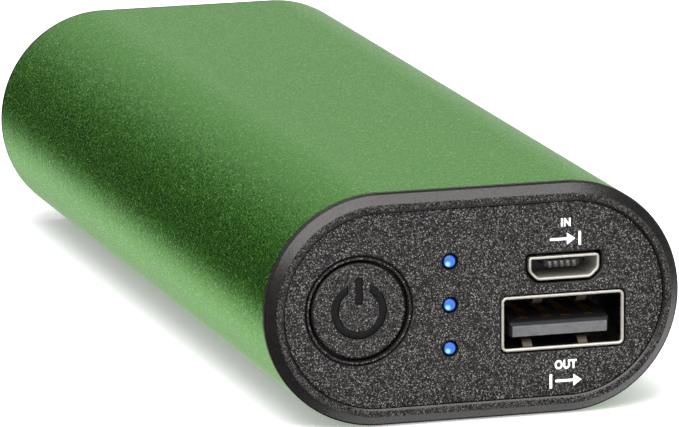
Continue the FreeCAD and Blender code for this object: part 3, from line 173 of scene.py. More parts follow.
lead_grain = 1200
lead_relief = 5e-6
red_cover = toned_finish("red_lead_cover", (0.42, 0.02, 0.015), (0.5, 0.03, 0.02), lead_grain, (0.34, 0.46),
                         lead_relief)
dress(red_cover, "battery_lead_positive")
black_cover = toned_finish("black_lead_cover", (0.015, 0.015, 0.016), (0.025, 0.025, 0.027), lead_grain,
                           (0.34, 0.46), lead_relief)
dress(black_cover, "battery_lead_negative")
white_cover = toned_finish("white_lead_cover", (0.68, 0.67, 0.63), (0.76, 0.75, 0.72), lead_grain,
                           (0.36, 0.48), lead_relief)
dress(white_cover, "heater_leads_top", "heater_leads_bottom")


# Heater films: etched foil tracks between two layers of amber polyimide, stuck inside the
# sleeve's flats. A bead thermistor in epoxy sits against the upper one.

amber_film, film_tree, film_shader, film_place = start_finish("amber_heater_film")
film_tracks = add_node(film_tree, "ShaderNodeTexWave", {
    "Vector": film_place, "Scale": 190.0, "Distortion": 0.6, "Detail": 1.0, "Detail Scale": 1.5},
    wave_type="BANDS", bands_direction="X").outputs["Fac"]
film_tones = add_node(film_tree, "ShaderNodeValToRGB", {"Fac": film_tracks})
film_tones.color_ramp.elements[0].position = 0.42
film_tones.color_ramp.elements[0].color = (0.42, 0.15, 0.02, 1)
film_tones.color_ramp.elements[1].position = 0.5
film_tones.color_ramp.elements[1].color = (0.62, 0.3, 0.1, 1)
plug(film_tree, film_shader, {
    "Base Color": film_tones.outputs["Color"], "Roughness": 0.3, "Coat Weight": 0.4})
add_relief(film_tree, film_shader, film_tracks, 1e-5)
dress(amber_film, "heater_film_top", "heater_film_bottom")
bead = toned_finish("thermistor_epoxy", (0.02, 0.02, 0.022), (0.05, 0.05, 0.055), 2500, (0.25, 0.4), 8e-6)
dress(bead, "thermistor")


# Charging board: a glass-fibre board with a green mask over its copper. It stands in the chassis on
# two screws and carries the charger, the inductor, the transistors and the smoothing capacitors.

mask_green = (0.012, 0.11, 0.035)
mask_shade = [0.8 * part for part in mask_green]
track_green = (0.03, 0.2, 0.07)
masked_board, board_tree, board_shader, board_place = start_finish("masked_board")
board_tracks = add_node(board_tree, "ShaderNodeTexBrick", {
    "Vector": board_place, "Color1": (*mask_green, 1), "Color2": (*mask_shade, 1),
    "Mortar": (*track_green, 1), "Scale": 260.0, "Mortar Size": 0.03, "Mortar Smooth": 0.2,
    "Brick Width": 0.9, "Row Height": 0.35})
board_speckle = add_node(board_tree, "ShaderNodeTexNoise", {
    "Vector": board_place, "Scale": 3000.0, "Detail": 2.0}).outputs["Fac"]
plug(board_tree, board_shader, {
    "Base Color": board_tracks.outputs["Color"], "Coat Weight": 0.3,
    "Roughness": ramp(board_tree, board_speckle, 0, 1, 0.28, 0.45)})
add_relief(board_tree, board_shader, board_tracks.outputs["Fac"], 2e-5)
dress(masked_board, "main_board")
screw_steel = toned_finish("screw_steel", (0.4, 0.39, 0.38), (0.52, 0.51, 0.5), 2600, (0.28, 0.42), 3e-6,
                           Metallic=1.0)
dress(screw_steel, "board_screws", "front_screws", "rear_screws")
chip = toned_finish("moulded_chip", (0.012, 0.012, 0.013), (0.022, 0.022, 0.024), 4000, (0.45, 0.6), 8e-6)
dress(chip, "charge_controller", "power_transistors")
core = toned_finish("pressed_ferrite", (0.05, 0.048, 0.047), (0.085, 0.082, 0.08), 3500, (0.6, 0.78), 1.4e-5)
dress(core, "power_inductor")
ceramic = toned_finish("ceramic_capacitor", (0.4, 0.27, 0.16), (0.5, 0.36, 0.23), 2800, (0.4, 0.55), 6e-6)
dress(ceramic, "filter_capacitors")
tinned_pin = toned_finish("tinned_pin", (0.6, 0.58, 0.53), (0.7, 0.68, 0.64), 3000, (0.2, 0.34), 2e-6,
                          Metallic=1.0)
dress(tinned_pin, "board_link_pins")


# Output socket: a folded, plated steel shell round a moulded tongue with four gilt contacts. Two
# spring leaves press in from its roof and two from its floor. It is soldered under the board.

def middle(low, high):
    """Gives the middle of a box across the body."""
    return (low.x + high.x) / 2, (low.z + high.z) / 2


usb_low, usb_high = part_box("usb_a_shell")
usb_face = usb_low.y
usb_back = usb_high.y
usb_x = middle(usb_low, usb_high)[0]
usb_wall = 0.0003
usb_corner = 0.0006
usb_corner_steps = 8
usb_edge = 0.00013


def set_down():
    """Puts the picked piece's place, turn and size into its mesh."""
    bpy.ops.object.transform_apply(location=True, rotation=True, scale=True)


def pick_all():
    """Picks every face of the open piece."""
    bpy.context.tool_settings.mesh_select_mode = (False, False, True)
    bpy.ops.mesh.select_all(action="SELECT")


def open_piece(name, size=(1, 1, 1)):
    """Names and sizes the primitive that was just added and opens it with every face picked."""
    piece = bpy.context.object
    piece.name = name
    piece.scale = size
    set_down()
    bpy.ops.object.mode_set(mode="EDIT")
    pick_all()
    return piece


def start_plate(name, low_x, high_x, low_z, high_z, y, corner=0, segments=0):
    """Opens an upright plate facing the front, its corners round where a radius is given, all picked."""
    bpy.ops.object.select_all(action="DESELECT")
    bpy.ops.mesh.primitive_plane_add(size=1, rotation=(math.radians(90), 0, 0),
                                     location=((low_x + high_x) / 2, y, (low_z + high_z) / 2))
    piece = open_piece(name, (high_x - low_x, high_z - low_z, 1))
    if corner:
        bpy.ops.mesh.bevel(affect="VERTICES", offset=corner, segments=segments, clamp_overlap=False)
        bpy.ops.mesh.remove_doubles(threshold=1e-6)
        pick_all()
    return piece


def box_plate(name, low, high, gap, y, corner=0, segments=0):
    """Opens a plate that stands a gap outside the outline of a box."""
    return start_plate(name, low.x - gap, high.x + gap, low.z - gap, high.z + gap, y, corner, segments)


def push(distance):
    """Extrudes the picked face along the body, towards the rear where distance is above zero."""
    bpy.ops.mesh.extrude_region_move(TRANSFORM_OT_translate={"value": (0, distance, 0)})


def close_piece():
    """Ends edit mode with doubles merged and all faces pointing outwards."""
    bpy.ops.mesh.select_all(action="SELECT")
    bpy.ops.mesh.remove_doubles(threshold=1e-7)
    bpy.ops.mesh.normals_make_consistent(inside=False)
    bpy.ops.object.mode_set(mode="OBJECT")


def last_push(piece, distance):
    """Pushes the picked face of an open piece a last time, closes the piece and gives it back."""
    push(distance)
    close_piece()
    return piece


def pick_piece(piece):
    """Makes a piece the only picked one."""
    bpy.ops.object.select_all(action="DESELECT")
    piece.select_set(True)
    bpy.context.view_layer.objects.active = piece


def apply_modifier(piece, kind, **settings):
    """Adds a modifier to a piece and applies it."""
    pick_piece(piece)
    modifier = piece.modifiers.new(kind.lower(), kind)
    for name, value in settings.items():
        setattr(modifier, name, value)
    bpy.ops.object.modifier_apply(modifier=modifier.name)


def smooth(piece, angle=40):
    """Shades a piece smooth across edges up to an angle, and lets its flats stay flat."""
    pick_piece(piece)
    bpy.ops.object.shade_smooth_by_angle(angle=math.radians(angle))
    apply_modifier(piece, "WEIGHTED_NORMAL", keep_sharp=True)


def ease_edges(piece, width, segments=3, angle=35):
    """Rounds a piece's edges and shades it smooth."""
    apply_modifier(piece, "BEVEL", width=width, segments=segments, limit_method="ANGLE",
                   angle_limit=math.radians(angle))
    smooth(piece)


def join_pieces(first, *others):
    """Joins finished meshes of one real piece."""
    pick_piece(first)
    for piece in others:
        piece.select_set(True)
    bpy.ops.object.join()


def fit(piece, material, body, slot, *nodes):
    """Gives a finished piece its material, its body and the solids that it stands for."""
    piece.data.name = piece.name
    piece.data.materials.clear()
    piece.data.materials.append(material)
    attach(piece, body)
    if nodes:
        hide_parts(*nodes)


usb_shell = box_plate("output_socket_shell", usb_low, usb_high, 0, usb_back, usb_corner, usb_corner_steps)
push(usb_face - usb_back)
bpy.ops.mesh.inset(thickness=usb_wall)
last_push(usb_shell, usb_back - usb_face - usb_wall)
ease_edges(usb_shell, usb_edge, segments=4)


def start_strip(name, x, z, width, front, length, cuts):
    """Opens a flat strip that lies along the body, cut into small faces so that it can be bent."""
    bpy.ops.object.select_all(action="DESELECT")
    bpy.ops.mesh.primitive_plane_add(size=1, location=(x, front + length / 2, z))
    strip = open_piece(name, (width, length, 1))
    bpy.ops.mesh.subdivide(number_cuts=cuts)
    return strip


def bend_strip(strip, bend, sheet, side):
    """Moves each point of a strip by its bend, then gives the strip its thickness to one side."""
    mesh = bmesh.from_edit_mesh(strip.data)
    for point in mesh.verts:
        point.co += Vector(bend(point.co))
    bmesh.update_edit_mesh(strip.data)
    bpy.ops.object.mode_set(mode="OBJECT")
    apply_modifier(strip, "SOLIDIFY", thickness=sheet, offset=side)
    smooth(strip)


leaf_width = 0.0013
leaf_start = usb_face + 0.0008
leaf_length = 0.0042
leaf_sheet = 0.00012
leaf_cuts = 7
leaf_taper = 0.25
crest_early = 0.6
crest_sharp = 1.4

# Each row of leaves has the height of its wall, the places of its leaves and their rise.
floor_leaves = (usb_low.z + usb_wall, (usb_x - 0.0035, usb_x + 0.0024), 0.0008)
roof_leaves = (usb_high.z - usb_wall, (usb_x - 0.00235, usb_x + 0.00235), -0.001)


def leaf_bend(spot, axis, rise):
    """Lets a leaf rise to a crest behind its tip, and narrows it towards the tip."""
    along = min(max((spot.y - leaf_start) / leaf_length, 0), 1)
    crest = math.sin(math.pi * along ** crest_early) ** crest_sharp
    return (axis - spot.x) * leaf_taper * (1 - along), 0, rise * crest


leaves = []
for wall_z, leaf_spots, leaf_rise in (floor_leaves, roof_leaves):
    for leaf_x in leaf_spots:
        leaf = start_strip("output_socket_leaves", leaf_x, wall_z, leaf_width, leaf_start, leaf_length,
                           leaf_cuts)
        bend_strip(leaf, lambda spot: leaf_bend(spot, leaf_x, leaf_rise), leaf_sheet,
                   -math.copysign(1, leaf_rise))
        leaves.append(leaf)
join_pieces(*leaves)
# The leaves' steel is toned far darker than the shell's: painted shade for their place deep in the socket.
leaf_steel = toned_finish("spring_leaf_steel_painted_shade", (0.085, 0.068, 0.049), (0.12, 0.098, 0.075), 2600,
                          (0.36, 0.48), 2e-6, Metallic=0.8)
fit(leaves[0], leaf_steel, "body", "steel_shell")

shear_depth = 0.0002
shear_rough = (0.5, 0.64)
shear_metal = 0.85
polish_range = 0.1


def front_mask(tree, front, behind, depth=shear_depth, fade=shear_depth):
    """Gives one value from the sockets' mouths to a depth, and another one further in."""
    place = tree.nodes["Texture Coordinate"].outputs["Object"]
    parts = add_node(tree, "ShaderNodeSeparateXYZ", {"Vector": place})
    return ramp(tree, parts.outputs["Y"], usb_face + depth, usb_face + depth + fade, front, behind)


def socket_finish(name, polish, metal):
    """Makes plated steel that is polished inside and rough along its sheared lip."""
    inside = (polish, polish + polish_range)
    material = toned_finish(name, (0.82, 0.78, 0.7), (0.9, 0.86, 0.79), 2400, inside, 2e-6, Metallic=1.0)
    tree = material.node_tree
    plug(tree, tree.nodes["tone"], {
        "Roughness from": front_mask(tree, shear_rough[0], inside[0]),
        "Roughness to": front_mask(tree, shear_rough[1], inside[1])})
    plug(tree, tree.nodes["Principled BSDF"], {"Metallic": front_mask(tree, shear_metal, metal)})
    return material


fit(usb_shell, socket_finish("output_shell_steel", 0.13, 1.0), "body", "steel_shell", "usb_a_shell")

block_low, block_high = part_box("usb_a_insulator")
block_front = -0.0457
tongue_half = 0.00528
tongue_foot = 0.00808
tongue_top = 0.00992
tongue_edge = 0.00003
# Depth over which the tongue's painted shade fades in behind its front.
painted_shade_fade = 0.00008
slope_start = block_low.y + 0.0017
slope_end = block_low.y + 0.0004
slope_top = 0.0095
tip_top = 0.0091
tip_half = 0.005
tongue_root = (usb_x, 0, tongue_foot)
tongue = start_plate("output_tongue", usb_x - tongue_half, usb_x + tongue_half, tongue_foot, tongue_top,
                     block_front)
push(slope_start - block_front)
push(slope_end - slope_start)
slope_share = (slope_top - tongue_foot) / (tongue_top - tongue_foot)
bpy.ops.transform.resize(value=(1, 1, slope_share), center_override=tongue_root)
push(block_low.y - slope_end)
tip_share = (tip_top - tongue_foot) / (slope_top - tongue_foot)
bpy.ops.transform.resize(value=(tip_half / tongue_half, 1, tip_share), center_override=tongue_root)
close_piece()
block = box_plate("socket_block", block_low, block_high, 0, block_high.y)
join_pieces(tongue, last_push(block, block_front - block_high.y))
ease_edges(tongue, tongue_edge, angle=20)

# Tongue: a mottled grey painted on its front as lit, and near-black painted behind it as shade under the
# shell's roof.
tongue_plastic, tongue_tree, tongue_shader, tongue_place = start_finish("tongue_plastic_painted_light_and_shade")
tongue_mottle = add_node(tongue_tree, "ShaderNodeTexNoise", {
    "Vector": tongue_place, "Scale": 2600.0, "Detail": 3.0}).outputs["Fac"]
tongue_painted_lit_grey = mix_tones(tongue_tree, tongue_mottle, (0.064, 0.066, 0.07, 1), (0.15, 0.152, 0.157, 1))
tongue_painted_shade = front_mask(tongue_tree, 0, 1, block_low.y - usb_face + tongue_edge, painted_shade_fade)
plug(tongue_tree, tongue_shader, {
    "Base Color": mix_tones(tongue_tree, tongue_painted_shade, tongue_painted_lit_grey, (0.012, 0.012, 0.013, 1)),
    "Roughness": ramp(tongue_tree, tongue_mottle, 0, 1, 0.36, 0.5)})
fit(tongue, tongue_plastic, "body", "insulator", "usb_a_insulator")

contacts_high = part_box("usb_a_contacts")[1]
contact_spots = [usb_x + offset for offset in (-0.0035, -0.001, 0.001, 0.0035)]
contact_half = 0.0005
contact_sheet = 0.0002
contact_cuts = 31
contact_tip = slope_start - 0.0004
contact_length = contacts_high.y - contact_tip
contact_rise = 0.0015
contact_dip = 0.0003


def contact_bend(spot):
    """Lets the front of a contact dip into the tongue's slope."""
    short = max(0, 1 - (spot.y - contact_tip) / contact_rise)
    return 0, 0, -contact_dip * short ** 2


contacts = []
for contact_x in contact_spots:
    contact = start_strip("output_contacts", contact_x, tongue_top, 2 * contact_half, contact_tip,
                          contact_length, contact_cuts)
    bend_strip(contact, contact_bend, contact_sheet, 1)
    tail = start_plate("contact_tail", contact_x - contact_half, contact_x + contact_half, tongue_top,
                       contacts_high.z, contacts_high.y)
    contacts += [contact, last_push(tail, -contact_sheet)]
join_pieces(*contacts)
gilt = toned_finish("gilt_contact", (0.6, 0.36, 0.11), (0.72, 0.46, 0.17), 3000, (0.24, 0.36), 2e-6,
                    Metallic=1.0)
fit(contacts[0], gilt, "body", "contact_gold", "usb_a_contacts")


# Input socket: a small folded shell, wide side up with cut lower corners, round a thin tongue with
# five contacts. It is soldered on top of the same board.

micro_low, micro_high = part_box("micro_usb_shell")
micro_x, micro_z = middle(micro_low, micro_high)
micro_cut = 0.0009
cut_growth = 0.586
micro_round = 0.00034
round_growth = 0.4
micro_wall = 0.00025
micro_edge = 0.00011


def pick_points(piece, test):
    """Picks the points of an open piece whose place passes a test."""
    bpy.context.tool_settings.mesh_select_mode = (True, False, False)
    bpy.ops.mesh.select_all(action="DESELECT")
    mesh = bmesh.from_edit_mesh(piece.data)
    for point in mesh.verts:
        point.select_set(test(point.co))
    bmesh.update_edit_mesh(piece.data)


def start_micro(name, grow, y):
    """Opens a plate with the small socket's outline: square upper corners, cut lower corners."""
    piece = box_plate(name, micro_low, micro_high, grow, y)
    pick_points(piece, lambda spot: spot.z < micro_z)
    bpy.ops.mesh.bevel(affect="VERTICES", offset=micro_cut + grow * cut_growth, segments=1,
                       clamp_overlap=False)
    bpy.ops.mesh.select_all(action="SELECT")
    bpy.ops.mesh.bevel(affect="VERTICES", offset=micro_round + grow * round_growth, segments=5,
                       clamp_overlap=False)
    pick_all()
    return piece


micro_shell = start_micro("input_socket_shell", 0, micro_high.y)
push(micro_low.y - micro_high.y)
bpy.ops.mesh.inset(thickness=micro_wall)
last_push(micro_shell, micro_high.y - micro_low.y - micro_wall)
ease_edges(micro_shell, micro_edge, segments=4)
fit(micro_shell, socket_finish("input_shell_steel", 0.32, 0.87), "body", "steel_shell", "micro_usb_shell")
input_plastic = toned_finish("input_tongue_plastic", (0.02, 0.02, 0.021), (0.035, 0.035, 0.037), 2200,
                             (0.4, 0.55), 8e-6)
dress(input_plastic, "micro_usb_insulator")

pins_low, pins_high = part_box("micro_usb_contacts")
tip_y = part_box("micro_usb_insulator")[0].y
pin_width = 0.00035
pin_sheet = 0.00012
pin_pitch = 0.00065
pin_edge = 0.00002
tip_rise = 0.00048
pins = []
for number in range(-2, 3):
    left = micro_x + number * pin_pitch - pin_width / 2
    for front, back, low, high in (
            (tip_y, pins_high.y, pins_high.z - pin_sheet, pins_high.z),
            (tip_y - pin_sheet / 2, tip_y, pins_high.z - pin_sheet, pins_high.z + tip_rise),
            (pins_high.y - pin_sheet, pins_high.y, pins_low.z, pins_high.z)):
        pin = start_plate("input_contacts", left, left + pin_width, low, high, back)
        pins.append(last_push(pin, front - back))
join_pieces(*pins)
ease_edges(pins[0], pin_edge, segments=2)
fit(pins[0], tinned_pin, "body", "contact_gold", "micro_usb_contacts")


# Switch board: a small upright board behind the port face. It carries the three lamps and the push
# switch, and pins link it to the charging board.

dress(masked_board, "switch_board")
lamp_resin = toned_finish("lamp_body", (0.75, 0.72, 0.55), (0.85, 0.83, 0.7), 3000, (0.3, 0.42), 4e-6)
dress(lamp_resin, "indicator_leds")
switch_plastic = toned_finish("switch_plastic", (0.02, 0.02, 0.021), (0.034, 0.034, 0.036), 2600,
                              (0.42, 0.56), 8e-6)
dress(switch_plastic, "switch_base", "switch_plunger")
dress(tinned_pin, "switch_cover")


# Snap dome: a pressed spring-steel dish in the switch's well. It flattens under the plunger and
# springs back.

dome_low, dome_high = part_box("switch_dome")
dome_radius = (dome_high.x - dome_low.x) / 2
dome_rise = dome_high.y - dome_low.y
dome_sheet = 0.00012
dome_steps = 7


def start_disc(name, x, z, radius, y, vertices=72):
    """Opens a round plate facing the front, all selected."""
    bpy.ops.object.select_all(action="DESELECT")
    bpy.ops.mesh.primitive_circle_add(vertices=vertices, radius=radius, fill_type="NGON",
                                      rotation=(math.radians(90), 0, 0), location=(x, y, z))
    return open_piece(name)


def step_in(*steps):
    """Insets the picked face by widths and depths, in turn; a depth above zero is to the front."""
    for width, depth in steps:
        bpy.ops.mesh.inset(thickness=width, depth=depth)


snap_dome = start_disc("snap_dome", *middle(dome_low, dome_high), dome_radius, dome_high.y, vertices=48)
dome_turns = [step / dome_steps * math.pi / 2 for step in range(dome_steps)]
dome_heights = [(dome_rise - dome_sheet) * math.sin(turn) for turn in dome_turns]
step_in(*[(dome_radius / dome_steps, high - low) for low, high in zip(dome_heights, dome_heights[1:])])
bpy.ops.object.mode_set(mode="OBJECT")
apply_modifier(snap_dome, "SOLIDIFY", thickness=dome_sheet, offset=1)
smooth(snap_dome, angle=60)
fit(snap_dome, tinned_pin, "body", "nickel", "switch_dome")
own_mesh(snap_dome)


# Light guide: one clear acrylic moulding, a rail behind the panel with three pipes that end as low
# domes in the panel's holes. The lamps behind make them glow blue.

guide_low, guide_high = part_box("light_guide")
light_x, light_z = middle(guide_low, guide_high)
light_pitch = 0.0045
light_heights = [light_z + number * light_pitch for number in (-1, 0, 1)]
rail_front = -0.05355
rail_depth = 0.001
rail_corner = 0.0009
rail_corner_steps = 6
rail_edge = 0.00008
lens_radius = 0.00073
lens_rise = 0.00022
lens_steps = ((0.00008, 0.00009), (0.00012, 0.00006), (0.00018, 0.00004), (0.0002, 0.00002))
light_guide = box_plate("light_guide_clear", guide_low, guide_high, 0, rail_front + rail_depth, rail_corner,
                        rail_corner_steps)
last_push(light_guide, -rail_depth)
ease_edges(light_guide, rail_edge)
pipes = []
for pipe_z in light_heights:
    pipe = start_disc("light_pipe", light_x, pipe_z, lens_radius, guide_high.y, vertices=40)
    push(guide_low.y + lens_rise - guide_high.y)
    step_in(*lens_steps)
    close_piece()
    smooth(pipe, angle=50)
    pipes.append(pipe)
join_pieces(light_guide, *pipes)

# Each lens is lit to near its edge, with a paler spot low on its left where the lamp shines through. Its rim
# is painted near-black as shade.
lens_fade = (0.0005, 0.00064)
spot_place = (-0.00022, 0.0, -0.00027)
spot_fade = (0.0001, 0.0004)
lens_blue = (0.06, 0.24, 0.86, 1)
spot_blue = (0.5, 0.95, 1.0, 1)
rim_painted_shade = (0.0, 0.003, 0.02, 1)
acrylic_tone = (0.004, 0.01, 0.03, 1)


def combine(tree, operation, *values):
    """Works out one value from others."""
    inputs = dict(enumerate(values))
    return add_node(tree, "ShaderNodeMath", inputs, operation=operation).outputs["Value"]


def combine_vectors(tree, operation, output, *values):
    """Works out a vector or a value from vectors."""
    inputs = dict(enumerate(values))
    return add_node(tree, "ShaderNodeVectorMath", inputs, operation=operation).outputs[output]


blue_light, light_tree, light_shader, light_place = start_finish("blue_lit_acrylic")
light_mapping = add_node(light_tree, "ShaderNodeMapping", {
    "Vector": light_place, "Location": (-light_x, 0.0, -light_z)})
light_parts = add_node(light_tree, "ShaderNodeSeparateXYZ", {"Vector": light_mapping.outputs["Vector"]})
light_wrap = combine(light_tree, "WRAP", light_parts.outputs["Z"], -light_pitch / 2, light_pitch / 2)
light_flat = add_node(light_tree, "ShaderNodeCombineXYZ", {
    "X": light_parts.outputs["X"], "Z": light_wrap}).outputs["Vector"]
lens_reach = combine_vectors(light_tree, "LENGTH", "Value", light_flat)
lens_share = ramp(light_tree, lens_reach, *lens_fade, 1, 0, interpolation_type="SMOOTHSTEP")
spot_flat = combine_vectors(light_tree, "SUBTRACT", "Vector", light_flat, spot_place)
spot_reach = combine_vectors(light_tree, "LENGTH", "Value", spot_flat)
spot_share = ramp(light_tree, spot_reach, *spot_fade, 1, 0, interpolation_type="SMOOTHSTEP")
lit_tone = mix_tones(light_tree, spot_share, lens_blue, spot_blue)
plug(light_tree, light_shader, {
    "Base Color": acrylic_tone, "Roughness": 0.12, "Emission Strength": 1.0,
    "Emission Color": mix_tones(light_tree, lens_share, rim_painted_shade, lit_tone)})
fit(light_guide, blue_light, "body", "clear_acrylic", "light_guide")


# Bezels: moulded black plastic ends. A chamfered collar with a fine step in it covers the sleeve's
# end across a narrow reveal, and a skirt goes inside the sleeve. The rim frames the face panel and
# slopes down to it along its inner edge.

body_low, body_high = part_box("front_bezel")
half_height = (body_high.z - body_low.z) / 2
face_y = body_low.y
collar_depth = 0.0013
bezel_land = 0.0002
bezel_chamfer = 0.0011
chamfer_angle = math.radians(45)
bezel_edge = 0.00002
collar_step = 0.00018
shoulder_radius = 0.00008
shoulder_steps = 2
reveal_depth = 0.0005
reveal_gap = 0.0002
rim_width = 0.0019
rim_slope = 0.00025
rim_fall = 0.0002
skirt_inset = 0.0014
skirt_wall = 0.0012
skirt_length = 0.004
seat_depth = 0.0016
floor_back = 0.003
oval_steps = 32


def start_oval(name, inset, y):
    """Opens a flat-oval plate across the body, moved in from the body's outline, all selected."""
    return box_plate(name, body_low, body_high, -inset, y, half_height - inset, oval_steps)


def pick_faces(piece, test):
    """Picks the faces of an open piece whose middle and normal pass a test."""
    mesh = bmesh.from_edit_mesh(piece.data)
    bpy.ops.mesh.select_all(action="DESELECT")
    for face in mesh.faces:
        face.select_set(test(face.calc_center_median(), face.normal))
    mesh.select_flush_mode()
    bmesh.update_edit_mesh(piece.data)


def mould_bezel(name):
    """Models the collar from its widest line to the front, then the neck and the skirt behind it."""
    piece = start_oval(name, 0, face_y + collar_depth)
    push(-bezel_land)
    bpy.ops.mesh.inset(thickness=collar_step)
    push(shoulder_radius * math.tan(chamfer_angle / 2) - collar_step)
    turns = [chamfer_angle * step / shoulder_steps for step in range(shoulder_steps + 1)]
    step_in(*[(shoulder_radius * (math.cos(last) - math.cos(turn)),
               shoulder_radius * (math.sin(turn) - math.sin(last))) for last, turn in zip(turns, turns[1:])])
    slope = bezel_chamfer - collar_step - shoulder_radius * (1 - math.cos(turns[-1]))
    step_in((slope, slope), (rim_width - bezel_chamfer - rim_slope, 0), (rim_slope, -rim_fall))
    push(seat_depth - rim_fall)
    pick_faces(piece, lambda spot, normal: normal.y > 0.9 and abs(spot.y - face_y - collar_depth) < 1e-5)
    bpy.ops.mesh.inset(thickness=reveal_depth)
    push(reveal_gap)
    bpy.ops.mesh.inset(thickness=skirt_inset - reveal_depth)
    push(skirt_length)
    bpy.ops.mesh.inset(thickness=skirt_wall)
    return last_push(piece, floor_back - collar_depth - reveal_gap - skirt_length)


def cut_out(piece, *cutters):
    """Cuts openings into a piece."""
    for cutter in cutters:
        apply_modifier(piece, "BOOLEAN", operation="DIFFERENCE", object=cutter, solver="EXACT")
        bpy.data.objects.remove(cutter)


def turn_to_rear(piece):
    """Turns the piece that was just finished to the other end of the body."""
    piece.rotation_euler.z = math.pi
    set_down()


# Facet grain: small flat facets, each with its own lean, as spark erosion leaves in a mould and glass
# beads leave in metal.
facet_group, facet_in, facet_out = start_group(
    "facet_grain", {"Place": "Vector", "Scale": "Float", "Lean": "Float"},
    {"Height": "Float", "Grain": "Float"})
facet_cells = add_node(facet_group, "ShaderNodeTexVoronoi", {
    "Vector": facet_in.outputs["Place"], "Scale": facet_in.outputs["Scale"]})
facet_spot = combine_vectors(facet_group, "SUBTRACT", "Vector", facet_in.outputs["Place"],
                             facet_cells.outputs["Position"])
facet_lean = combine_vectors(facet_group, "SUBTRACT", "Vector", facet_cells.outputs["Color"],
                             (0.5, 0.5, 0.5))
facet_climb = combine_vectors(facet_group, "DOT_PRODUCT", "Value", facet_spot, facet_lean)
facet_grain = add_node(facet_group, "ShaderNodeSeparateColor", {"Color": facet_cells.outputs["Color"]})
plug(facet_group, facet_out, {
    "Height": combine(facet_group, "MULTIPLY", facet_climb, facet_in.outputs["Lean"]),
    "Grain": facet_grain.outputs["Red"]})


def add_facets(tree, place, scale, lean):
    """Places the facet grain in a material and gives its height and its grain."""
    facets = add_node(tree, "ShaderNodeGroup", {"Place": place, "Scale": scale, "Lean": lean},
                      node_tree=facet_group)
    return facets.outputs["Height"], facets.outputs["Grain"]


spark_scale = 10000
spark_fade = 0.00004
spark_left = 0.12
# Grain cells above this share are painted pale, as glints.
painted_glint_from = 0.78
spark_tint = (1.0, 0.95, 0.93, 1)


def spark_finish(name, smooth_from, lean, dark, pale, rough, gloss):
    """Makes black plastic that is grained from smooth_from outwards and all but polished behind it. Its pale
    specks are painted glints, which fade out with the grain on the polished parts.
    """
    material, tree, shader, place = start_finish(name)
    height, grain = add_facets(tree, place, spark_scale, lean)
    parts = add_node(tree, "ShaderNodeSeparateXYZ", {"Vector": place})
    outward = combine(tree, "ABSOLUTE", parts.outputs["Y"])
    mask = ramp(tree, outward, smooth_from - spark_fade, smooth_from, spark_left, 1)
    grain = combine(tree, "MULTIPLY", grain, mask)
    # Painted glints: the palest grain cells are coloured pale as if they caught the light.
    painted_glint = ramp(tree, grain, painted_glint_from, 1, 0, 1)
    plug(tree, shader, {
        "Base Color": mix_tones(tree, painted_glint, (*dark, 1), (*pale, 1)),
        "Roughness": ramp(tree, grain, 0, 1, *rough),
        "Specular IOR Level": gloss, "Specular Tint": spark_tint})
    add_relief(tree, shader, combine(tree, "MULTIPLY", height, mask), 1.0)
    return material


# Its pale tone is that of painted glints on the grain.
bezel_plastic = spark_finish(
    "bezel_plastic", smooth_from=0.05497, lean=1.2, dark=(0.006, 0.0058, 0.0055), pale=(0.06, 0.0585, 0.057),
    rough=(0.27, 0.24), gloss=1.0)

button_low, button_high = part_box("power_button")
button_x, button_z = middle(button_low, button_high)
well_radius = 0.00615
opening_slack = 0.0003
cutter_back = face_y + 0.006
cutter_reach = 0.0055

front_bezel = mould_bezel("front_bezel_moulding")
well = last_push(start_disc("button_well", button_x, button_z, well_radius, cutter_back), -cutter_reach)
slot = last_push(box_plate("light_slot", guide_low, guide_high, opening_slack, cutter_back), -cutter_reach)
ports = start_plate("port_opening", usb_low.x - opening_slack, usb_high.x + opening_slack,
                    usb_low.z - opening_slack, micro_high.z + opening_slack, cutter_back)
cut_out(front_bezel, well, slot, last_push(ports, -cutter_reach))
ease_edges(front_bezel, bezel_edge, segments=2)
fit(front_bezel, bezel_plastic, "body", "bezel", "front_bezel")

rear_bezel = mould_bezel("rear_bezel_moulding")
ease_edges(rear_bezel, bezel_edge, segments=2)
turn_to_rear(rear_bezel)
fit(rear_bezel, bezel_plastic, "body", "bezel", "rear_bezel")


# Tape: a die-cut oval of double-sided foam tape holds each face panel in its bezel. The panel hides
# the end screws, which hold the bezel to the chassis.

foam_tape = toned_finish("foam_tape", (0.03, 0.03, 0.03), (0.05, 0.05, 0.05), 3200, (0.8, 0.95), 1.5e-5)
dress(foam_tape, "front_panel_adhesive", "rear_panel_adhesive")


# Face panels: textured black plates let into the bezels. The front one has round-edged openings for
# the button, the lights and the sockets, and a smooth sunk ring with a raised lip round the button.

panel_inset = 0.00195
panel_front = -0.05475
panel_thickness = 0.0012
panel_edge = 0.0001
panel_edge_steps = ((0.00003, 0.00007), (0.00007, 0.00003))
ring_radius = 0.00525
ring_edge = 0.00567
ring_depth = 0.00045
ring_floor = panel_front + ring_depth
lip_radius = 0.00552
lip_width = 0.00025
lip_sunk = 0.00002
lip_root = 0.00005
lip_edge = 0.00008
hole_radius = 0.00085
micro_gap = 0.0003
usb_gap = 0.00015
small_mouth = 0.00012
ring_mouth = 0.0002
micro_mouth = 0.0003
punch_back = panel_front + 0.0016
punch_past = 0.0004
mouth_turns = (30, 60, 90)


def mould_panel(name):
    """Models a plain panel with a softened front edge."""
    piece = start_oval(name, panel_inset, panel_front + panel_thickness)
    push(panel_edge - panel_thickness)
    step_in(*panel_edge_steps)
    close_piece()
    return piece


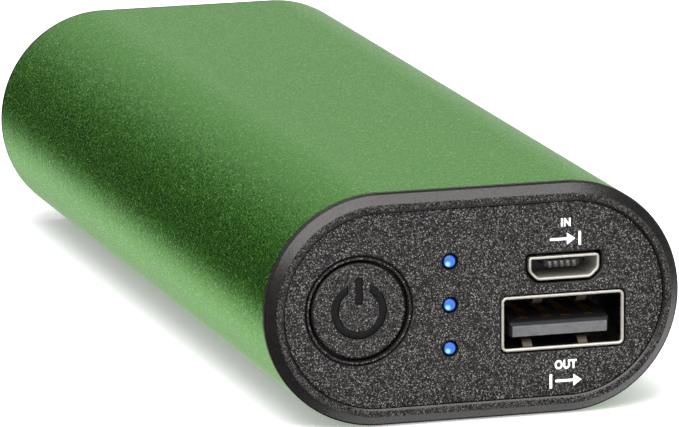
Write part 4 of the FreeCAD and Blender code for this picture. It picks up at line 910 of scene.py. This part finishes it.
def flare(piece, width, height, x, z, mouth, back):
    """Takes a cutter from its back up to the panel's face and rounds its mouth outwards."""
    push(panel_front + mouth - back)
    spread = 0.0
    rise = 0.0
    for turn in mouth_turns:
        next_spread = mouth * (1 - math.cos(math.radians(turn)))
        next_rise = mouth * math.sin(math.radians(turn))
        push(rise - next_rise)
        bpy.ops.transform.resize(value=((width + 2 * next_spread) / (width + 2 * spread), 1,
                                        (height + 2 * next_spread) / (height + 2 * spread)),
                                 center_override=(x, 0, z))
        spread, rise = next_spread, next_rise
    return last_push(piece, -punch_past)


def round_cutter(name, x, z, radius, mouth, back=punch_back, vertices=64):
    """Models the cutter of a round opening."""
    disc = start_disc(name, x, z, radius, back, vertices)
    return flare(disc, 2 * radius, 2 * radius, x, z, mouth, back)


def port_cutter(piece, low, high, gap, mouth):
    """Models the cutter of a socket's opening from its open outline."""
    width = high.x - low.x + 2 * gap
    height = high.z - low.z + 2 * gap
    return flare(piece, width, height, *middle(low, high), mouth, punch_back)


def open_ring(width):
    """Leaves a ring of the picked face."""
    bpy.ops.mesh.inset(thickness=width)
    bpy.ops.mesh.delete(type="FACE")
    bpy.ops.mesh.select_all(action="SELECT")


front_panel = mould_panel("front_panel_plate")
cutters = [round_cutter("button_hole", button_x, button_z, ring_radius, small_mouth)]
cutters.append(round_cutter("button_ring", button_x, button_z, ring_edge, ring_mouth, ring_floor, 72))
for hole_z in light_heights:
    cutters.append(round_cutter("light_hole", light_x, hole_z, hole_radius, small_mouth))
micro_opening = start_micro("input_opening", micro_gap, punch_back)
cutters.append(port_cutter(micro_opening, micro_low, micro_high, micro_gap, micro_mouth))
usb_opening = box_plate("output_opening", usb_low, usb_high, usb_gap, punch_back, usb_corner + usb_gap,
                        usb_corner_steps)
cutters.append(port_cutter(usb_opening, usb_low, usb_high, usb_gap, small_mouth))
cut_out(front_panel, *cutters)
lip = start_disc("button_lip", button_x, button_z, lip_radius, ring_floor + lip_root)
open_ring(lip_width)
last_push(lip, lip_sunk - ring_depth - lip_root)
ease_edges(lip, lip_edge, segments=4)
apply_modifier(front_panel, "BOOLEAN", operation="UNION", object=lip, solver="EXACT")
bpy.data.objects.remove(lip)
smooth(front_panel, angle=35)
# Its pale tone is that of painted glints on the grain.
panel_plastic = spark_finish(
    "panel_plastic", smooth_from=0.05472, lean=1.6, dark=(0.0122, 0.0118, 0.0114), pale=(0.21, 0.205, 0.2),
    rough=(0.27, 0.22), gloss=0.5)
fit(front_panel, panel_plastic, "body", "panel", "front_panel")

rear_panel = mould_panel("rear_panel_plate")
smooth(rear_panel, angle=35)
turn_to_rear(rear_panel)
fit(rear_panel, panel_plastic, "body", "panel", "rear_panel")


# Power button: a round cap with a flange behind the panel and a short stem on the push switch. Its
# face has the panel's grain, round a sunk glossy power sign.

cap_radius = 0.00495
cap_face = button_low.y
cap_round = 0.00025
cap_steps = ((0.00002, 0.00006), (0.00004, 0.00006), (0.00009, 0.00009), (0.00006, 0.00003),
             (0.00006, 0.00001))
cap_vertices = 96
flange_radius = (button_high.x - button_low.x) / 2
flange_front = face_y + 0.0015
flange_back = face_y + 0.0023
stem_radius = 0.0018
sign_radius = 0.0029
sign_stroke = 0.00075
sign_opening = 0.0023
sign_foot = 0.0007
sign_length = 0.0027
sign_sunk = 0.00012
sign_thickness = 0.0003
sign_edge = 0.00005
sign_slack = 0.00003
gap_height = 0.004
gap_past = 0.001
bar_round = 0.3
bar_steps = 4


def shape_sign(name, front, back, grow):
    """Models the power sign between two depths: a ring that is open at the top, and a bar."""
    sign = start_disc(name, button_x, button_z, sign_radius + grow, back, cap_vertices)
    open_ring(sign_stroke + 2 * grow)
    last_push(sign, front - back)
    half_gap = sign_opening / 2 - grow
    gap = start_plate("sign_gap", button_x - half_gap, button_x + half_gap, button_z, button_z + gap_height,
                      back + gap_past)
    cut_out(sign, last_push(gap, front - back - 2 * gap_past))
    half_bar = sign_stroke / 2 + grow
    bar = start_plate("sign_bar", button_x - half_bar, button_x + half_bar, button_z + sign_foot - grow,
                      button_z + sign_foot + sign_length + grow, back, half_bar * bar_round, bar_steps)
    join_pieces(sign, last_push(bar, front - back))
    return sign


power_button = start_disc("power_button_cap", button_x, button_z, stem_radius, button_high.y, cap_vertices)
last_push(power_button, flange_back - button_high.y)
flange = start_disc("button_flange", button_x, button_z, flange_radius, flange_back, cap_vertices)
push(flange_front - flange_back)
bpy.ops.mesh.inset(thickness=flange_radius - cap_radius)
push(cap_face + cap_round - flange_front)
step_in(*cap_steps)
close_piece()
cut_out(flange, shape_sign("sign_pocket", cap_face - sign_thickness, cap_face + sign_thickness, sign_slack))
join_pieces(power_button, flange)
smooth(power_button, angle=35)
# Its pale tone is that of painted glints on the grain.
button_plastic = spark_finish(
    "button_plastic", smooth_from=0.05466, lean=1.5, dark=(0.012, 0.0116, 0.0111), pale=(0.185, 0.18, 0.176),
    rough=(0.27, 0.24), gloss=0.6)
fit(power_button, button_plastic, "power_button", "button", "power_button")

power_sign = shape_sign("power_sign", cap_face + sign_sunk, cap_face + sign_thickness, 0.0)
ease_edges(power_sign, sign_edge)
gloss = toned_finish("glossy_sign", (0.004, 0.004, 0.0042), (0.007, 0.007, 0.0075), 700, (0.16, 0.24), 3e-6)
fit(power_sign, gloss, "power_button", "gloss_black", "button_mark")


# Printed words: white pad print on the panel. IN and OUT stand by their sockets, each with an arrow
# to or from a bar.

print_depth = 0.00001
print_stroke = 0.00028
stroke_corner = print_stroke * bar_round
bar_gap = 2.2 * print_stroke
head_length = 0.0009
head_half = 0.00062
shaft_end = 0.8 * head_length
shaft_depth = 0.8 * print_depth
letter_weight = 0.048
letter_space = 1.12
letter_depth = 0.01
print_white = toned_finish("pad_print_white", (0.74, 0.74, 0.73), (0.84, 0.84, 0.83), 5200, (0.45, 0.6), 4e-6)


def print_word(word, low_x, high_x, low_z, high_z):
    """Sets a word in plain upright letters and fits it to its printed size."""
    bpy.ops.object.select_all(action="DESELECT")
    bpy.ops.object.text_add()
    letters = bpy.context.object
    letters.name = "print_" + word.lower()
    letters.data.body = word
    letters.data.offset = letter_weight
    letters.data.space_character = letter_space
    letters.data.extrude = letter_depth
    bpy.ops.object.convert(target="MESH")
    letters = bpy.context.object
    spots = [point.co for point in letters.data.vertices]
    left, right = min(spot.x for spot in spots), max(spot.x for spot in spots)
    foot, top = min(spot.y for spot in spots), max(spot.y for spot in spots)
    wide = (high_x - low_x) / (right - left)
    tall = (high_z - low_z) / (top - foot)
    letters.scale = (wide, tall, print_depth / (2 * letter_depth))
    letters.rotation_euler.x = math.radians(90)
    letters.location = (low_x - left * wide, panel_front - print_depth / 2, low_z - foot * tall)
    set_down()
    fit(letters, print_white, "body", "panel")


def print_arrow(name, low_x, high_x, low_z, high_z, outward):
    """Prints an arrow that runs into a bar, or out of one; its shaft ends just under its head."""
    middle_z = (low_z + high_z) / 2
    bar_x = low_x if outward else high_x - print_stroke
    tail = low_x + bar_gap if outward else low_x
    tip = high_x if outward else high_x - bar_gap
    bar = start_plate(name, bar_x, bar_x + print_stroke, low_z, high_z, panel_front, stroke_corner, bar_steps)
    last_push(bar, -print_depth)
    shaft = start_plate("shaft", tail, tip - shaft_end, middle_z - print_stroke / 2,
                        middle_z + print_stroke / 2, panel_front, stroke_corner, bar_steps)
    last_push(shaft, -shaft_depth)
    head = start_plate("arrow_head", tip - head_length, tip, middle_z - head_half, middle_z + head_half,
                       panel_front)
    pick_points(head, lambda spot: spot.x > tip - head_length / 2)
    bpy.ops.mesh.merge(type="CENTER")
    pick_all()
    last_push(head, -print_depth)
    join_pieces(bar, shaft, head)
    fit(bar, print_white, "body", "panel")


print_word("IN", 0.009155, 0.010185, 0.019455, 0.020325)
print_word("OUT", 0.00849, 0.01085, 0.004655, 0.005615)
print_arrow("print_arrow_in", 0.00796, 0.0113, 0.01745, 0.0189, False)
print_arrow("print_arrow_out", 0.00794, 0.01139, 0.0027, 0.0042, True)


# Sleeve: one length of extruded aluminium tube of flat-oval section, bead-blasted and anodised
# green. The bezels' skirts close its ends.

sleeve_low, sleeve_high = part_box("sleeve")
sleeve_wall = 0.0013
sleeve_edge = 0.00001
sleeve = start_oval("green_sleeve", 0, sleeve_low.y)
open_ring(sleeve_wall)
last_push(sleeve, sleeve_high.y - sleeve_low.y)
ease_edges(sleeve, sleeve_edge, segments=2, angle=60)

blast_scale = 8000
blast_lean = 0.32
glint_from = 0.88
green_tone = (0.11, 0.37, 0.055, 1)
glint_tone = (0.58, 0.82, 0.46, 1)
edge_tint = (0.472, 0.86, 0.315, 1)
green_anodised, sleeve_tree, sleeve_shader, sleeve_place = start_finish("green_anodised")
blast_height, blast_grain = add_facets(sleeve_tree, sleeve_place, blast_scale, blast_lean)
sleeve_glint = ramp(sleeve_tree, blast_grain, glint_from, 1, 0, 1)
plug(sleeve_tree, sleeve_shader, {
    "Base Color": mix_tones(sleeve_tree, sleeve_glint, green_tone, glint_tone),
    "Roughness": ramp(sleeve_tree, blast_grain, 0, 1, 0.26, 0.2),
    "Metallic": 1.0, "Specular Tint": edge_tint, "Coat Weight": 0.5, "Coat Roughness": 0.25})
add_relief(sleeve_tree, sleeve_shader, blast_height, 1.0)
fit(sleeve, green_anodised, "body", "sleeve", "sleeve")


# Studio: a plain pale floor under a wide soft light overhead. The walls are dark at the sides and
# paler at the back right, so that the satin faces show soft, wide gradients.

floor_size = 6
floor_drop = 0.0001
floor_glow = 0.3
bpy.ops.object.select_all(action="DESELECT")
bpy.ops.mesh.primitive_plane_add(size=floor_size)
floor = bpy.context.object
floor.name = "studio_floor"
floor.location.z = -floor_drop
set_down()
floor.data.materials.append(toned_finish("pale_floor", (0.8, 0.8, 0.8), (0.83, 0.83, 0.83), 12, (0.7, 0.8),
                                         Emission_Strength=floor_glow))
floor.visible_glossy = False

world = bpy.data.worlds.new("studio_light")
bpy.context.scene.world = world
world.use_nodes = True
studio = world.node_tree
studio_way = studio.nodes.new("ShaderNodeTexCoord").outputs["Generated"]


def studio_patch(aim, start, full, strength):
    """Lights the part of the studio that lies towards aim, with a soft edge."""
    toward = combine_vectors(studio, "DOT_PRODUCT", "Value", studio_way, aim)
    return ramp(studio, toward, start, full, 0.0, strength, interpolation_type="SMOOTHSTEP")


overhead = studio_patch((-0.2, -0.45, 0.87), 0.57, 0.85, 2.6)
back_wall = studio_patch((0.45, 0.87, 0.2), 0.715, 0.88, 0.58)
back_floor = studio_patch((0.116, 0.944, -0.309), 0.988, 0.998, -0.75)
front_wall = studio_patch((0.28, -0.945, 0.17), 0.8, 0.97, 0.3)
table_side = studio_patch((1, 1, 0), -0.17, 0.15, 1.0)
table_dim = combine(studio, "ADD", studio_patch((0, 0, -1), 0.6, 0.95, -0.25), 1.0)
table = combine(studio, "MULTIPLY", studio_patch((0, 0, -1), 0.13, 0.33, 1.0), table_side)
table = combine(studio, "MULTIPLY", table, table_dim)
studio_level = 0.035
for patch in (overhead, back_wall, back_floor, front_wall, table):
    studio_level = combine(studio, "ADD", patch, studio_level)
plug(studio, studio.nodes["Background"], {"Color": (1, 1, 1, 1), "Strength": studio_level})

key_place = (-0.35, -0.7, 1.4)
key_size = 1.0
key_power = 30
bpy.ops.object.light_add(type="AREA", location=key_place)
key_box = bpy.context.object
key_box.name = "key_box"
key_box.rotation_euler = (-key_box.location).to_track_quat("-Z", "Y").to_euler()
key_box.data.size = key_size
key_box.data.energy = key_power
key_box.visible_glossy = False

# The camera looks at the port end from the left and a little above. Its focal length is in pixels.
view_target = Vector((0.00203, 0, 0.0103362))
view_distance = 0.8282686
view_height = math.radians(11.8698)
view_side = math.radians(-16.5353)
view_roll = math.radians(-0.3145)
picture_width = 679
focal_length = 7674.4598
sensor_width = 36
view_turn = Euler((math.radians(90) - view_height, 0, view_side)).to_matrix()
view_turn = view_turn @ Matrix.Rotation(view_roll, 3, "Z")
camera_data = bpy.data.cameras.new("photo_camera")
camera_data.sensor_width = sensor_width
camera_data.lens = focal_length / picture_width * sensor_width
camera_data.clip_start = 0.01
camera = bpy.data.objects.new("photo_camera", camera_data)
bpy.context.scene.collection.objects.link(camera)
camera.matrix_world = Matrix.Translation(view_target + view_turn.col[2] * view_distance) @ view_turn.to_4x4()
bpy.context.scene.camera = camera
bpy.context.scene.view_settings.view_transform = "Standard"
